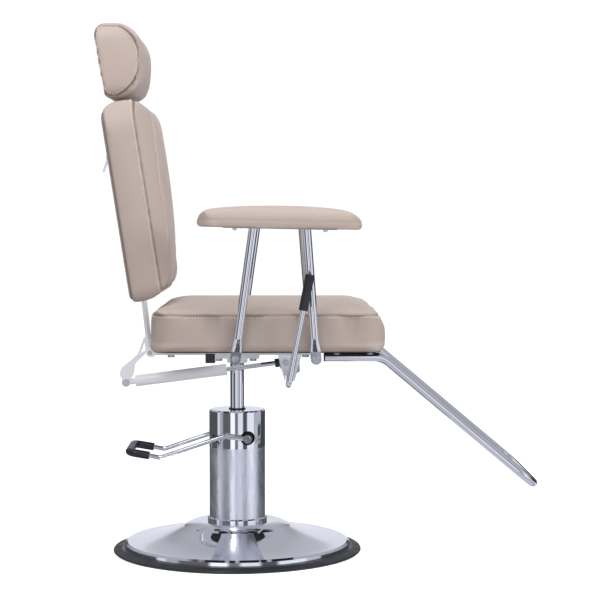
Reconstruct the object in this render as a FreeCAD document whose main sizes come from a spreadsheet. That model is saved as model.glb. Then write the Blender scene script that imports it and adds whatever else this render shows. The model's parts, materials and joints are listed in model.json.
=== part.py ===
import FreeCAD, Part

import math
import os

import Sketcher

# Hydraulic barber chair with a reclining back, a gas spring, a fixed footrest and a foot pump.
# +X is the way the sitter faces, +Y is the sitter's left, +Z is up.
# The origin is on the floor, on the axis of the column. Lengths are millimetres, angles are degrees.

SIZES = {
    # Floor ring and dish
    "ring_radius": 275, "ring_inner": 236, "ring_height": 10, "ring_wall": 4.5,
    "dish_radius": 250, "dish_foot": 6, "dish_lip": 19, "dish_gauge": 2.4, "dish_neck": 84,
    "dish_top": 67, "dish_bore": 38, "dish_mid_radius": 180, "dish_mid_height": 33.5,
    "dish_shoulder_radius": 118, "dish_shoulder_height": 55.5, "flange_radius": 66,
    "flange_bore": 36, "flange_top": 76, "base_bolt_circle": 50, "base_bolt_radius": 5,
    # Pump
    "sleeve_radius": 62, "sleeve_gauge": 1.5, "sleeve_top": 232, "collar_radius": 62.5,
    "collar_gauge": 1.5, "collar_top": 315, "collar_lid": 3, "tank_radius": 42, "tank_gauge": 4,
    "tank_floor": 6, "tank_top": 290, "barrel_bore": 20, "barrel_gauge": 4, "wiper_radius": 19,
    "wiper_top": 317.5, "rod_radius": 15.5, "rod_foot": 158, "rod_top": 432, "piston_length": 20,
    "running_gap": 0.05, "bolt_gap": 0.25,
    # Pedal and the small plunger that it presses
    "pedal_pivot_x": 24, "pedal_pivot_z": 256, "pedal_half": 72, "pedal_rod": 5, "grip_rubber": 8.75,
    "pedal_boss": 9.75, "pedal_shaft_radius": 6, "rocker_near": 46.5, "rocker_far": 54.5,
    "rocker_tip": 5, "plunger_y": 50.5, "plunger_radius": 4, "plunger_head": 7,
    "plunger_boss": 7.5, "plunger_boss_top": 215, "plunger_shoulder": 243, "spring_wire": 0.9,
    # Column head and seat frame
    "hub_radius": 23, "hub_foot": 418, "plate_foot": 436, "plate_top": 444, "plate_half_x": 50,
    "rail_inner": 95, "rail_outer": 115, "rail_rear": -180, "rail_front": 178, "frame_top": 458.2,
    "tube_side": 20, "tube_wall": 2, "tube_foot": 438.2, "tube_end": 252,
    "rear_tube_x": -50, "middle_tube_x": 2, "front_tube_x": 170, "seat_bolt_radius": 4,
    "seat_bolt_y": 105, "seat_bolt_top": 470,
    # Seat
    "cover_top": 459, "board_gauge": 12, "board_rear": -165, "board_front": 300,
    "board_half": 236, "cushion_rear": -179, "cushion_front": 319, "cushion_half": 250,
    "cushion_foot": 459, "cushion_seam": 532, "cushion_crown": 566, "cushion_corner": 48,
    "board_corner": 34, "screw_head": 7.5, "screw_sink": 4.1,
    # Recline hinge, strap and crank
    "hinge_x": -189, "hinge_z": 444, "hinge_pin_radius": 5, "hinge_barrel": 8, "strap_half": 42,
    "strap_gauge": 6, "lug_near": 44, "lug_far": 54, "crank_gauge": 4,
    # Gas spring
    "gas_x": -243.8, "gas_y": -28, "gas_z": 377.4, "gas_slope": 7.2, "gas_radius": 12.5,
    "gas_bore": 11, "gas_foot": 21, "gas_head": 223, "gas_rod_radius": 5, "gas_pin_radius": 4,
    "gas_span": 354.6, "eye_half": 7, "nut_foot": 330.5, "nut_top": 340.5, "nut_radius": 9.5,
    "head_end": 372, "slack_radius": 9.5, "release_tip": 377,
    # Bracket and recline lever
    "cheek_gauge": 3, "cheek_near": 11, "cheek_far": 45, "lever_x": 112, "lever_z": 396,
    "lever_y": -305, "lever_rod": 6, "lever_lean": 11, "lever_length": 230, "lever_grip": 9.5,
    "lever_grip_foot": 157,
    # Armrests
    "leg_radius": 9.5, "leg_bore": 8, "leg_foot_y": 256.4, "leg_top_y": 285, "leg_foot_z": 446,
    "leg_top_z": 727, "rear_leg_top_x": 41.2, "front_leg_top_x": 148.3, "pad_rear": -78,
    "pad_length": 343, "pad_half": 38, "pad_foot_z": 720, "pad_tilt": 1.17, "pad_crown": 49,
    "strip_gauge": 3, "strip_rear": 56, "strip_front": 290, "strip_half": 15,
    # Footrest
    "foot_tube": 9.5, "foot_bore": 8, "foot_half": 195, "foot_rear": 190, "foot_bend_x": 311,
    "foot_z": 446, "foot_slope": 40, "foot_length": 426, "tread_start": 183,
    "tread_end": 352, "tread_gauge": 2.5,
    # Back and headrest
    "back_x": -224, "back_z": 565, "back_lean": 8.8, "back_half": 206, "back_side": 74,
    "back_crown": 117, "back_top": 422, "board_back": 20, "guide_back": 19.5, "guide_front": 29.5,
    "guide_half": 26, "guide_foot": 222, "guide_top": 400, "bar_back": 22, "bar_gauge": 5,
    "bar_half": 20, "bar_foot": 240, "bar_top": 540, "headrest_half": 136, "latch_x": -10,
    "latch_z": 310,
}

document = FreeCAD.newDocument("barber_chair")
sheet = document.addObject("Spreadsheet::Sheet", "Sizes")
for row, (alias, amount) in enumerate(SIZES.items(), start=1):
    sheet.set(f"A{row}", alias.replace("_", " "))
    sheet.set(f"B{row}", str(amount))
    sheet.setAlias(f"B{row}", alias)
document.recompute()


class Size:
    """A size and the sheet expression that it comes from."""

    def __init__(self, value, text):
        self.value = value
        self.text = text

    def __add__(self, other):
        return Size(self.value + number(other), f"({self.text} + {words(other)})")

    def __sub__(self, other):
        return Size(self.value - number(other), f"({self.text} - {words(other)})")

    def __rsub__(self, other):
        return Size(number(other) - self.value, f"({words(other)} - {self.text})")

    def __mul__(self, other):
        return Size(self.value * number(other), f"({self.text} * {words(other)})")

    def __neg__(self):
        return Size(-self.value, f"(0 - {self.text})")

    __radd__ = __add__
    __rmul__ = __mul__


class Sheet:
    """The sheet's cells by alias."""

    def __getattr__(self, alias):
        return Size(float(sheet.get(alias)), f"Sizes.{alias}")


S = Sheet()


def number(size):
    return size.value if isinstance(size, Size) else float(size)


def words(size):
    return size.text if isinstance(size, Size) else f"({float(size)!r})"


def sine(angle):
    return Size(math.sin(math.radians(angle.value)), f"sin({angle.text} * 1deg)")


def cosine(angle):
    return Size(math.cos(math.radians(angle.value)), f"cos({angle.text} * 1deg)")


def vector(place):
    return FreeCAD.Vector(*(number(size) for size in place))


def bind(thing, prop, size):
    if isinstance(size, Size):
        thing.setExpression(prop, size.text)
    else:
        setattr(thing, prop, float(size))


TURNS = {
    "Z": FreeCAD.Rotation(),
    "X": FreeCAD.Rotation(FreeCAD.Vector(0, 1, 0), 90),
    "Y": FreeCAD.Rotation(FreeCAD.Vector(1, 0, 0), -90),
    "-Y": FreeCAD.Rotation(FreeCAD.Vector(1, 0, 0), 90),
}


def stand(thing, place, rotation):
    thing.Placement = FreeCAD.Placement(vector(place), rotation)
    for letter, size in zip("xyz", place):
        if isinstance(size, Size):
            thing.setExpression(f"Placement.Base.{letter}", size.text)
    return thing


# A frame is a place, the axis it leans about and how far it leans.
BACKWARDS = FreeCAD.Vector(0, -1, 0)
FORWARDS = FreeCAD.Vector(0, 1, 0)
BACK_FRAME = ((S.back_x, 0, S.back_z), BACKWARDS, S.back_lean)
GAS_FRAME = ((S.gas_x, S.gas_y, S.gas_z), BACKWARDS, S.gas_slope)
LEVER_FRAME = ((S.lever_x, S.lever_y, S.lever_z), FORWARDS, S.lever_lean)
TREAD_FRAME = ((S.foot_bend_x, 0, S.foot_z), FORWARDS, S.foot_slope)


def arm_frame(side):
    return ((S.pad_rear, S.leg_top_y * side, S.pad_foot_z), FORWARDS, S.pad_tilt)


def lean(thing, frame):
    """Lays a thing that was made upright into a leaning frame."""
    place, axis, angle = frame
    stand(thing, place, FreeCAD.Rotation(axis, angle.value))
    thing.setExpression("Placement.Rotation.Angle", angle.text)
    return thing


def cylinder(label, radius, length, place, along="Z"):
    thing = document.addObject("Part::Cylinder", label)
    bind(thing, "Radius", radius)
    bind(thing, "Height", length)
    return stand(thing, place, TURNS[along])


def box(label, low, high):
    thing = document.addObject("Part::Box", label)
    for prop, near, far in zip(("Length", "Width", "Height"), low, high):
        bind(thing, prop, far - near)
    return stand(thing, low, TURNS["Z"])


def hexagon(label, radius, length, place, along="Z"):
    thing = document.addObject("Part::Prism", label)
    thing.Polygon = 6
    bind(thing, "Circumradius", radius)
    bind(thing, "Height", length)
    return stand(thing, place, TURNS[along])


def fuse(label, things):
    thing = document.addObject("Part::MultiFuse", label)
    thing.Shapes = things
    thing.Refine = True
    return thing


def common(label, things):
    thing = document.addObject("Part::MultiCommon", label)
    thing.Shapes = things
    return thing


def cut(label, base, tools):
    thing = document.addObject("Part::Cut", label)
    thing.Base = base
    thing.Tool = tools[0] if len(tools) == 1 else fuse(label + "_tools", tools)
    return thing


def group(label, things):
    thing = document.addObject("Part::Compound", label)
    thing.Links = things
    return thing


def tube(label, outer, inner, length, place, along="Z"):
    return cut(label, cylinder(label + "_outside", outer, length, place, along),
               [cylinder(label + "_bore", inner, length, place, along)])


def draw(body, plane, corners, offset=0.0):
    """Draws a closed outline. A corner with a third entry starts an arc through that point."""
    sketch = body.newObject("Sketcher::SketchObject", body.Name + "_sketch")
    origin = next(item for item in body.Origin.OriginFeatures if item.Role == plane + "_Plane")
    sketch.AttachmentSupport = (origin, [""])
    sketch.MapMode = "FlatFace"
    sketch.AttachmentOffset = FreeCAD.Placement(FreeCAD.Vector(0, 0, number(offset)), FreeCAD.Rotation())
    if isinstance(offset, Size):
        sketch.setExpression("AttachmentOffset.Base.z", offset.text)
    edges = []
    for corner, following in zip(corners, corners[1:] + corners[:1]):
        start = vector((corner[0], corner[1], 0))
        end = vector((following[0], following[1], 0))
        if len(corner) == 3:
            through = vector((*corner[2], 0))
            clockwise = (through - start).cross(end - through).z < 0
            curve = Part.Arc(end, through, start) if clockwise else Part.Arc(start, through, end)
        else:
            curve = Part.LineSegment(start, end)
        index = sketch.addGeometry(curve)
        swapped = (sketch.Geometry[index].StartPoint - start).Length > 1e-6
        edges.append((index, 2, 1) if swapped else (index, 1, 2))
    rules = []
    ties = []

    def pin_down(geometry, point, place):
        for kind, size in zip(("DistanceX", "DistanceY"), place):
            if isinstance(size, Size):
                ties.append((len(rules), size.text))
            rules.append(Sketcher.Constraint(kind, -1, 1, geometry, point, number(size)))

    for corner, (index, first, last), (after, after_first, _) in zip(corners, edges, edges[1:] + edges[:1]):
        rules.append(Sketcher.Constraint("Coincident", index, last, after, after_first))
        pin_down(index, first, corner[:2])
        if len(corner) == 3:
            spot = sketch.addGeometry(Part.Point(vector((*corner[2], 0))), True)
            pin_down(spot, 1, corner[2])
            rules.append(Sketcher.Constraint("PointOnObject", spot, 1, index))
    sketch.addConstraint(rules)
    for rule, text in ties:
        sketch.setExpression(f"Constraints[{rule}]", text)
    return sketch


def turned(label, corners):
    """A body turned about the column's axis. Corners are (radius, height)."""
    body = document.addObject("PartDesign::Body", label)
    sketch = draw(body, "XZ", corners)
    feature = body.newObject("PartDesign::Revolution", label + "_turn")
    feature.Profile = sketch
    feature.ReferenceAxis = (sketch, ["V_Axis"])
    feature.Angle = 360
    return body


# Each drawing plane, and whether its normal runs along the plane's missing axis or against it.
NORMALS = {"XY": 1, "XZ": -1, "YZ": 1}


def padded(label, plane, corners, low, high):
    """A body with the outline on one plane, from low to high along the axis across it."""
    body = document.addObject("PartDesign::Body", label)
    offset = low if NORMALS[plane] > 0 else -high if isinstance(high, Size) else -float(high)
    sketch = draw(body, plane, corners, offset)
    feature = body.newObject("PartDesign::Pad", label + "_pad")
    feature.Profile = sketch
    bind(feature, "Length", high - low)
    return body


def route(places, bend):
    """Straight runs through the places, joined by tangent arcs."""
    points = [vector(place) for place in places]
    edges = []
    start = points[0]
    for before, corner, after in zip(points, points[1:], points[2:]):
        back = (before - corner).normalize()
        ahead = (after - corner).normalize()
        half = (math.pi - back.getAngle(ahead)) / 2
        reach = bend * math.tan(half)
        middle = (back + ahead).normalize() * (bend / math.cos(half) - bend)
        arc_start = corner + back * reach
        arc_end = corner + ahead * reach
        edges.append(Part.LineSegment(start, arc_start).toShape())
        edges.append(Part.Arc(arc_start, corner + middle, arc_end).toShape())
        start = arc_end
    edges.append(Part.LineSegment(start, points[-1]).toShape())
    return Part.Wire(edges)


def swept(wire, radius):
    start = wire.OrderedEdges[0]
    heading = start.tangentAt(start.FirstParameter)
    section = Part.Wire([Part.makeCircle(radius, start.valueAt(start.FirstParameter), heading)])
    return wire.makePipeShell([section], True, False)


def bent(label, places, bend, outer, inner=None):
    """A bent rod, or a bent tube where inner is given."""
    thing = document.addObject("Part::Feature", label)
    wire = route(places, bend)
    shape = swept(wire, number(outer))
    if inner is not None:
        shape = shape.cut(swept(wire, number(inner)))
    thing.Shape = shape
    return thing


sub_parts = []


def keep(name, thing):
    thing.Label = name
    sub_parts.append(thing)


def bolt(label, radius, head_radius, head_height, place, length, along="Z"):
    """A hexagon-head bolt. place is under its head, and its shank runs along the given way."""
    step = {"Z": (2, -1), "Y": (1, -1), "-Y": (1, 1)}[along]
    head_place = list(place)
    head_place[step[0]] = head_place[step[0]] + step[1] * head_height
    head = hexagon(label + "_head", head_radius, head_height, head_place, along)
    shank = cylinder(label + "_shank", radius, length, place, along)
    return fuse(label, [head, shank])


def build_base():
    gauge = S.dish_gauge
    outer, foot, lip = S.dish_radius, S.dish_foot, S.dish_lip
    top, neck = S.dish_top, S.dish_neck
    shoulder, slope = S.dish_shoulder_radius, S.dish_shoulder_height
    middle, dip = S.dish_mid_radius, S.dish_mid_height
    bulge = 2.8
    upper_side = [(outer, foot), (outer, lip), (outer - 6, lip + 4, (middle, dip)),
                  (shoulder, slope, ((shoulder + neck) * 0.5, (slope + top) * 0.5 + bulge)),
                  (neck, top), (S.dish_bore, top)]
    lower_side = [(S.dish_bore, top - gauge),
                  (neck, top - gauge, ((shoulder + neck) * 0.5 - 1, (slope + top) * 0.5 + bulge - gauge)),
                  (shoulder - 1, slope - gauge, (middle, dip - gauge)),
                  (outer - 7, lip + 4 - gauge), (outer - gauge, lip - 1), (outer - gauge, foot)]
    quarters = ((1, 0), (0, 1), (-1, 0), (0, -1))
    bolt_spots = [(S.base_bolt_circle * x, S.base_bolt_circle * y) for x, y in quarters]
    holes = [cylinder("dish_hole", S.base_bolt_radius + S.bolt_gap, S.dish_top, (x, y, 0))
             for x, y in bolt_spots]
    keep("base_dish", cut("dish", turned("dish_shell", upper_side + lower_side), holes))

    ribs = []
    rib_count, rib_pitch, rib_rise = 3, 5.0, 1.1
    for rib in range(rib_count):
        radius = S.ring_radius - rib_pitch * rib
        height = S.ring_wall + rib_rise * rib
        ribs += [(radius - 1, height + 1.6), (radius - 3.6, height + 2.6), (radius - 4.4, height + 1.6)]
    keep("base_ring", turned("ring", [
        (S.ring_inner, 0), (S.ring_radius - 3, 0), (S.ring_radius, 3), (S.ring_radius, S.ring_wall),
        *ribs, (outer + 7, S.ring_height), (outer, S.ring_height), (outer, foot),
        (outer - gauge, foot), (outer - gauge, foot + 4), (S.ring_inner + 4, foot + 4),
        (S.ring_inner, foot)]))

    flange_holes = [cylinder("flange_hole", S.base_bolt_radius + S.running_gap, S.flange_top, (x, y, 0))
                    for x, y in bolt_spots]
    keep("pump_flange", cut("flange", turned("flange_ring", [
        (S.flange_bore, S.dish_top), (S.flange_radius, S.dish_top), (S.flange_radius, S.flange_top - 2.5),
        (S.flange_radius - 2.5, S.flange_top), (S.flange_bore, S.flange_top)]), flange_holes))
    keep("base_bolts", group("base_bolt_group", [
        bolt("base_bolt", S.base_bolt_radius, 9.5, 6.5, (x, y, S.dish_top - gauge),
             S.flange_top - S.dish_top + gauge)
        for x, y in bolt_spots]))


def build_pump():
    keep("pump_sleeve", turned("sleeve", [
        (S.sleeve_radius - S.sleeve_gauge, S.flange_top), (S.sleeve_radius, S.flange_top),
        (S.sleeve_radius, S.sleeve_top), (S.sleeve_radius - S.sleeve_gauge, S.sleeve_top)]))

    lid = S.collar_top - S.collar_lid
    inside = S.collar_radius - S.collar_gauge
    shell = turned("collar_shell", [
        (inside, S.sleeve_top), (S.collar_radius, S.sleeve_top), (S.collar_radius, lid),
        (S.collar_radius - 3, S.collar_top), (S.wiper_radius, S.collar_top), (S.wiper_radius, lid),
        (inside, lid)])
    window = 15.5
    windows = cylinder("collar_windows", window, S.collar_radius * 2,
                       (S.pedal_pivot_x, -S.collar_radius, S.pedal_pivot_z), "Y")
    keep("pump_collar", cut("collar", shell, [windows]))

    wall = S.tank_radius - S.tank_gauge
    floor = S.flange_top + S.tank_floor
    tank = turned("tank_shell", [(0, S.flange_top), (S.tank_radius, S.flange_top),
                                 (S.tank_radius, S.tank_top),
                                 (wall, S.tank_top), (wall, floor), (0, floor)])
    boss_start, boss_end, bore_start = 27, 45, 33
    bosses = [cylinder("shaft_boss", 12, boss_end - boss_start,
                       (S.pedal_pivot_x, side * boss_start, S.pedal_pivot_z),
                       way) for side, way in ((1, "Y"), (-1, "-Y"))]
    bores = [cylinder("shaft_bore", S.pedal_shaft_radius + S.running_gap, boss_end - bore_start + 1,
                      (S.pedal_pivot_x, side * bore_start, S.pedal_pivot_z), way)
             for side, way in ((1, "Y"), (-1, "-Y"))]
    plunger_foot = 150
    plunger_boss = cylinder("plunger_boss", S.plunger_boss, S.plunger_boss_top - plunger_foot,
                            (0, S.plunger_y, plunger_foot))
    web = box("plunger_web", (-5, 40, plunger_foot), (5, S.plunger_y, S.plunger_boss_top))
    plunger_bore = cylinder("plunger_bore", S.plunger_radius + S.running_gap, S.plunger_boss_top - 157,
                            (0, S.plunger_y, 157))
    keep("pump_body", cut("tank", fuse("tank_casting", [tank, *bosses, plunger_boss, web]),
                          [*bores, plunger_bore]))

    keep("pump_cylinder", turned("barrel", [
        (S.barrel_bore, floor), (S.barrel_bore + S.barrel_gauge, floor),
        (S.barrel_bore + S.barrel_gauge, S.tank_top), (S.barrel_bore, S.tank_top)]))
    rod_bore = S.rod_radius + S.running_gap
    keep("pump_gland", turned("gland", [(rod_bore, S.tank_top), (S.tank_radius, S.tank_top),
                                        (S.tank_radius, lid), (rod_bore, lid)]))
    bevel = 1.5
    keep("rod_wiper", turned("wiper", [
        (rod_bore, lid), (S.wiper_radius, lid), (S.wiper_radius, S.wiper_top - bevel),
        (S.wiper_radius - bevel, S.wiper_top), (rod_bore, S.wiper_top)]))


PEDAL_ROUTE = [(-29, 262), (-167, 215.5), (-188.5, 220), (-235, 228)]


def build_pedal():
    half = S.pedal_half
    near = [(S.pedal_pivot_x, -half, S.pedal_pivot_z)] + [(x, -half, z) for x, z in PEDAL_ROUTE]
    far = [(x, -y, z) for x, y, z in reversed(near)]
    bar = bent("pedal_rod", near + far, 16, S.pedal_rod)
    bosses = []
    bores = []
    stubs = []
    screws = []
    for side, way in ((-1, "-Y"), (1, "Y")):
        spot = S.pedal_pivot_x, S.pedal_pivot_z
        boss_start = (half - 6) * side
        bosses.append(cylinder("pedal_boss", S.pedal_boss, 12, (spot[0], boss_start, spot[1]), way))
        bores.append(cylinder("pedal_bore", S.pedal_shaft_radius, 14, (spot[0], boss_start - side, spot[1]),
                              way))
        stub = cylinder("shaft_stub", S.pedal_shaft_radius, half - 29.5, (spot[0], 33.5 * side, spot[1]), way)
        thread = cylinder("shaft_thread", 4, 16, (spot[0], (half - 10) * side, spot[1]), way)
        stubs.append(cut("shaft", stub, [thread]))
        head = cylinder("screw_head", 7, 5, (spot[0], (half + 6) * side, spot[1]), way)
        shank = cylinder("screw_shank", 4, 15.5, (spot[0], (half - 9.5) * side, spot[1]), way)
        socket = hexagon("screw_socket", 4.4, 3.5, (spot[0], (half + 8) * side, spot[1]), way)
        screws.append(cut("pedal_screw", fuse("screw_blank", [head, shank]), [socket]))
    keep("pedal_bar", cut("pedal", fuse("pedal_blank", [bar, *bosses]), bores))

    start = PEDAL_ROUTE[2]
    sleeve = [(start[0] - 2, -half, start[1] + 0.35), (-235, -half, 228)]
    keep("pedal_grip", bent("pedal_sleeve", sleeve + [(x, -y, z) for x, y, z in reversed(sleeve)],
                            16, S.grip_rubber, S.pedal_rod))

    width = S.rocker_far - S.rocker_near
    hub = cylinder("rocker_hub", 10, width, (S.pedal_pivot_x, S.rocker_near, S.pedal_pivot_z), "Y")
    tip = cylinder("rocker_tip", S.rocker_tip, width, (0, S.rocker_near, S.pedal_pivot_z), "Y")
    arm = box("rocker_arm", (0, S.rocker_near, S.pedal_pivot_z - 4),
              (S.pedal_pivot_x, S.rocker_far, S.pedal_pivot_z + 4))
    keep("pedal_shaft", group("shaft_pair", [stubs[0], fuse("shaft_and_rocker", [stubs[1], hub, arm, tip])]))
    keep("pedal_screws", group("screw_pair", screws))


def build_plunger():
    spot = (0, S.plunger_y)
    foot = 165
    stem = cylinder("plunger_stem", S.plunger_radius, S.plunger_shoulder - foot, (*spot, foot))
    top = S.pedal_pivot_z - S.rocker_tip - 0.1
    head = cylinder("plunger_cap", S.plunger_head, top - S.plunger_shoulder, (*spot, S.plunger_shoulder))
    keep("pump_plunger", fuse("plunger", [stem, head]))

    wire = S.spring_wire.value
    coil_radius = 5.6
    coil_foot = S.plunger_boss_top.value + wire + 0.1
    coil_height = S.plunger_shoulder.value - wire - 0.1 - coil_foot
    helix = Part.makeHelix(coil_height / 5, coil_height, coil_radius)
    helix.translate(FreeCAD.Vector(0, S.plunger_y.value, coil_foot))
    start = helix.Edges[0]
    section = Part.Wire([Part.makeCircle(wire, start.valueAt(start.FirstParameter),
                                         start.tangentAt(start.FirstParameter))])
    coil = document.addObject("Part::Feature", "coil")
    coil.Shape = Part.Wire(helix.Edges).makePipeShell([section], True, True)
    keep("plunger_spring", coil)


def build_piston():
    keep("piston_rod", cylinder("rod", S.rod_radius, S.rod_top - S.rod_foot, (0, 0, S.rod_foot)))
    outer = S.barrel_bore - S.running_gap
    foot = S.rod_foot - S.piston_length
    groove = 3
    keep("piston_head", turned("piston", [
        (0, foot), (outer, foot), (outer, foot + 7), (outer - groove, foot + 7), (outer - groove, foot + 13),
        (outer, foot + 13), (outer, S.rod_foot), (0, S.rod_foot)]))
    keep("swivel_bearing", cylinder("bearing", S.rod_radius - 0.1, S.plate_foot - S.rod_top - 0.1,
                                    (0, 0, S.rod_top)))


def seat_bolt_spots():
    """Places of the bolts through frame and board, and the height that each head is under."""
    corner = S.plate_half_x - 13
    spots = []
    for side in (-1, 1):
        y = S.seat_bolt_y * side
        spots += [(corner, y, S.plate_foot), (-corner, y, S.plate_foot), (150, y, S.plate_top),
                  (-140, y, S.plate_top)]
    return spots


def footrest_bolt_spots():
    return [(x, S.foot_half * side) for x in (215, 285) for side in (-1, 1)]


def bolt_holes(label, spots):
    clear = S.seat_bolt_radius + S.bolt_gap
    return [cylinder(label, clear, 60, (spot[0], spot[1], S.plate_foot - 5)) for spot in spots]


def build_seat_frame():
    bearing_bore = S.rod_radius + S.running_gap
    hub = turned("hub_ring", [
        (bearing_bore, S.hub_foot), (S.hub_radius - 2, S.hub_foot), (S.hub_radius, S.hub_foot + 2),
        (S.hub_radius, S.plate_foot), (bearing_bore, S.plate_foot)])
    keep("seat_hub", hub)
    plate = box("plate_blank", (-S.plate_half_x, -S.rail_outer, S.plate_foot),
                (S.plate_half_x, S.rail_outer, S.plate_top))
    keep("mount_plate", cut("plate", plate, bolt_holes("plate_hole", seat_bolt_spots())))

    rails = []
    for side in (-1, 1):
        middle = (S.rail_inner + S.rail_outer) * 0.5 * side
        half = (S.rail_outer - S.rail_inner) * 0.5
        rails.append(box("rail", (S.rail_rear, middle - half, S.plate_top),
                         (S.rail_front, middle + half, S.frame_top)))
    keep("frame_rails", cut("rails", group("rail_pair", rails), bolt_holes("rail_hole", seat_bolt_spots())))

    half = S.tube_side * 0.5
    wall = S.tube_wall
    pieces = []
    caps = []
    for x in (S.rear_tube_x, S.middle_tube_x, S.front_tube_x):
        pieces.append(box("spacer", (x - half, -S.rail_inner, S.plate_top),
                          (x + half, S.rail_inner, S.frame_top)))
        for side, way in ((-1, "-Y"), (1, "Y")):
            middle = (S.rail_outer + S.tube_end) * 0.5 * side
            reach = (S.tube_end - S.rail_outer) * 0.5
            skin = box("stub_skin", (x - half, middle - reach, S.tube_foot),
                       (x + half, middle + reach, S.frame_top))
            if x.text == S.rear_tube_x.text:
                hollow = box("stub_hollow", (x - half + wall, middle - reach, S.tube_foot + wall),
                             (x + half - wall, middle + reach, S.frame_top - wall))
                face = S.tube_end * side
                lid = box("cap_lid", (x - half, face - 1.5 + 1.5 * side, S.tube_foot),
                          (x + half, face + 1.5 + 1.5 * side, S.frame_top))
                plug = box("cap_plug", (x - half + wall, face - 6 - 6 * side, S.tube_foot + wall),
                           (x + half - wall, face + 6 - 6 * side, S.frame_top - wall))
                caps.append(fuse("cap", [lid, plug]))
            else:
                hollow = cylinder("stub_thread", S.seat_bolt_radius, 40,
                                  (x, (S.tube_end - 30) * side, S.leg_foot_z), way)
            pieces.append(cut("stub", skin, [hollow]))
    keep("cross_tubes", group("cross_tube_set", pieces))
    keep("tube_end_caps", group("cap_pair", caps))

    keep("seat_bolts", group("seat_bolt_set", [
        bolt("seat_bolt", S.seat_bolt_radius, 7.5, 5.5, (x, y, z), S.seat_bolt_top - z)
        for x, y, z in seat_bolt_spots()]))


def build_hinge():
    x, z = S.hinge_x, S.hinge_z
    bar = box("hinge_bar", (x + 17, -S.rail_inner, S.plate_top), (x + 37, S.rail_inner, S.frame_top))
    outline = [(x + 18, S.frame_top), (x - 2, z + 12), (x - 8, z + 6), (x - 8, z - 6), (x - 3, z - 9),
               (x + 6, z - 9), (x + 18, S.plate_top)]
    lugs = [padded("lug", "XZ", outline, S.lug_near * side - shift, S.lug_near * side + 10 - shift)
            for side, shift in ((1, 0), (-1, 10))]
    holes = cylinder("lug_holes", S.hinge_pin_radius + 0.02, S.lug_far * 2 + 10, (x, -S.lug_far - 5, z), "Y")
    keep("hinge_bracket", cut("hinge", fuse("hinge_blank", [bar, *lugs]), [holes]))
    keep("hinge_pin", cylinder("recline_pin", S.hinge_pin_radius, S.lug_far * 2 + 4, (x, -S.lug_far - 2, z),
                               "Y"))


def build_bracket():
    pin_x = S.gas_x + S.gas_span * cosine(S.gas_slope)
    pin_z = S.gas_z + S.gas_span * sine(S.gas_slope)
    foot = S.plate_top - 4
    flange = box("bracket_flange", (84, -62, foot), (S.front_tube_x + 14, 6, S.plate_top))
    window = box("bracket_window", (80, S.gas_y - 12, foot - 1), (134, S.gas_y + 12, S.plate_top + 1))
    outline = [(90, foot), (143, foot), (128, 383), (124, 379), (109, 379), (105, 383)]
    cheeks = [padded("cheek", "XZ", outline, y, y + S.cheek_gauge)
              for y in (-S.cheek_far, -S.cheek_near - S.cheek_gauge)]
    reach = 80
    holes = [cylinder("pin_holes", S.gas_pin_radius + 0.02, reach, (pin_x, -reach, pin_z), "Y"),
             cylinder("lever_holes", S.lever_rod + S.running_gap, reach, (S.lever_x, -reach, S.lever_z), "Y")]
    keep("gas_bracket", cut("bracket", fuse("bracket_blank", [flange, *cheeks]), [window, *holes]))
    pin = cylinder("front_pin", S.gas_pin_radius, S.cheek_far - S.cheek_near + 8,
                   (pin_x, -S.cheek_far - 4, pin_z), "Y")
    heads = [cylinder("front_pin_head", 7, 4, (pin_x, -S.cheek_far - 4, pin_z), "Y"),
             cylinder("front_pin_nut", 7, 4, (pin_x, -S.cheek_near, pin_z), "Y")]
    keep("gas_front_pin", fuse("front_pin_set", [pin, *heads]))


def round_plan(rear, front, half, corner):
    """An oblong with round corners, seen from above."""
    near = corner * (1 - math.sqrt(0.5))
    return [
        (rear + corner, -half), (front - corner, -half, (front - near, -half + near)),
        (front, -half + corner),
        (front, half - corner, (front - near, half - near)), (front - corner, half),
        (rear + corner, half, (rear + near, half - near)), (rear, half - corner),
        (rear, -half + corner, (rear + near, -half + near))]


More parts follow.
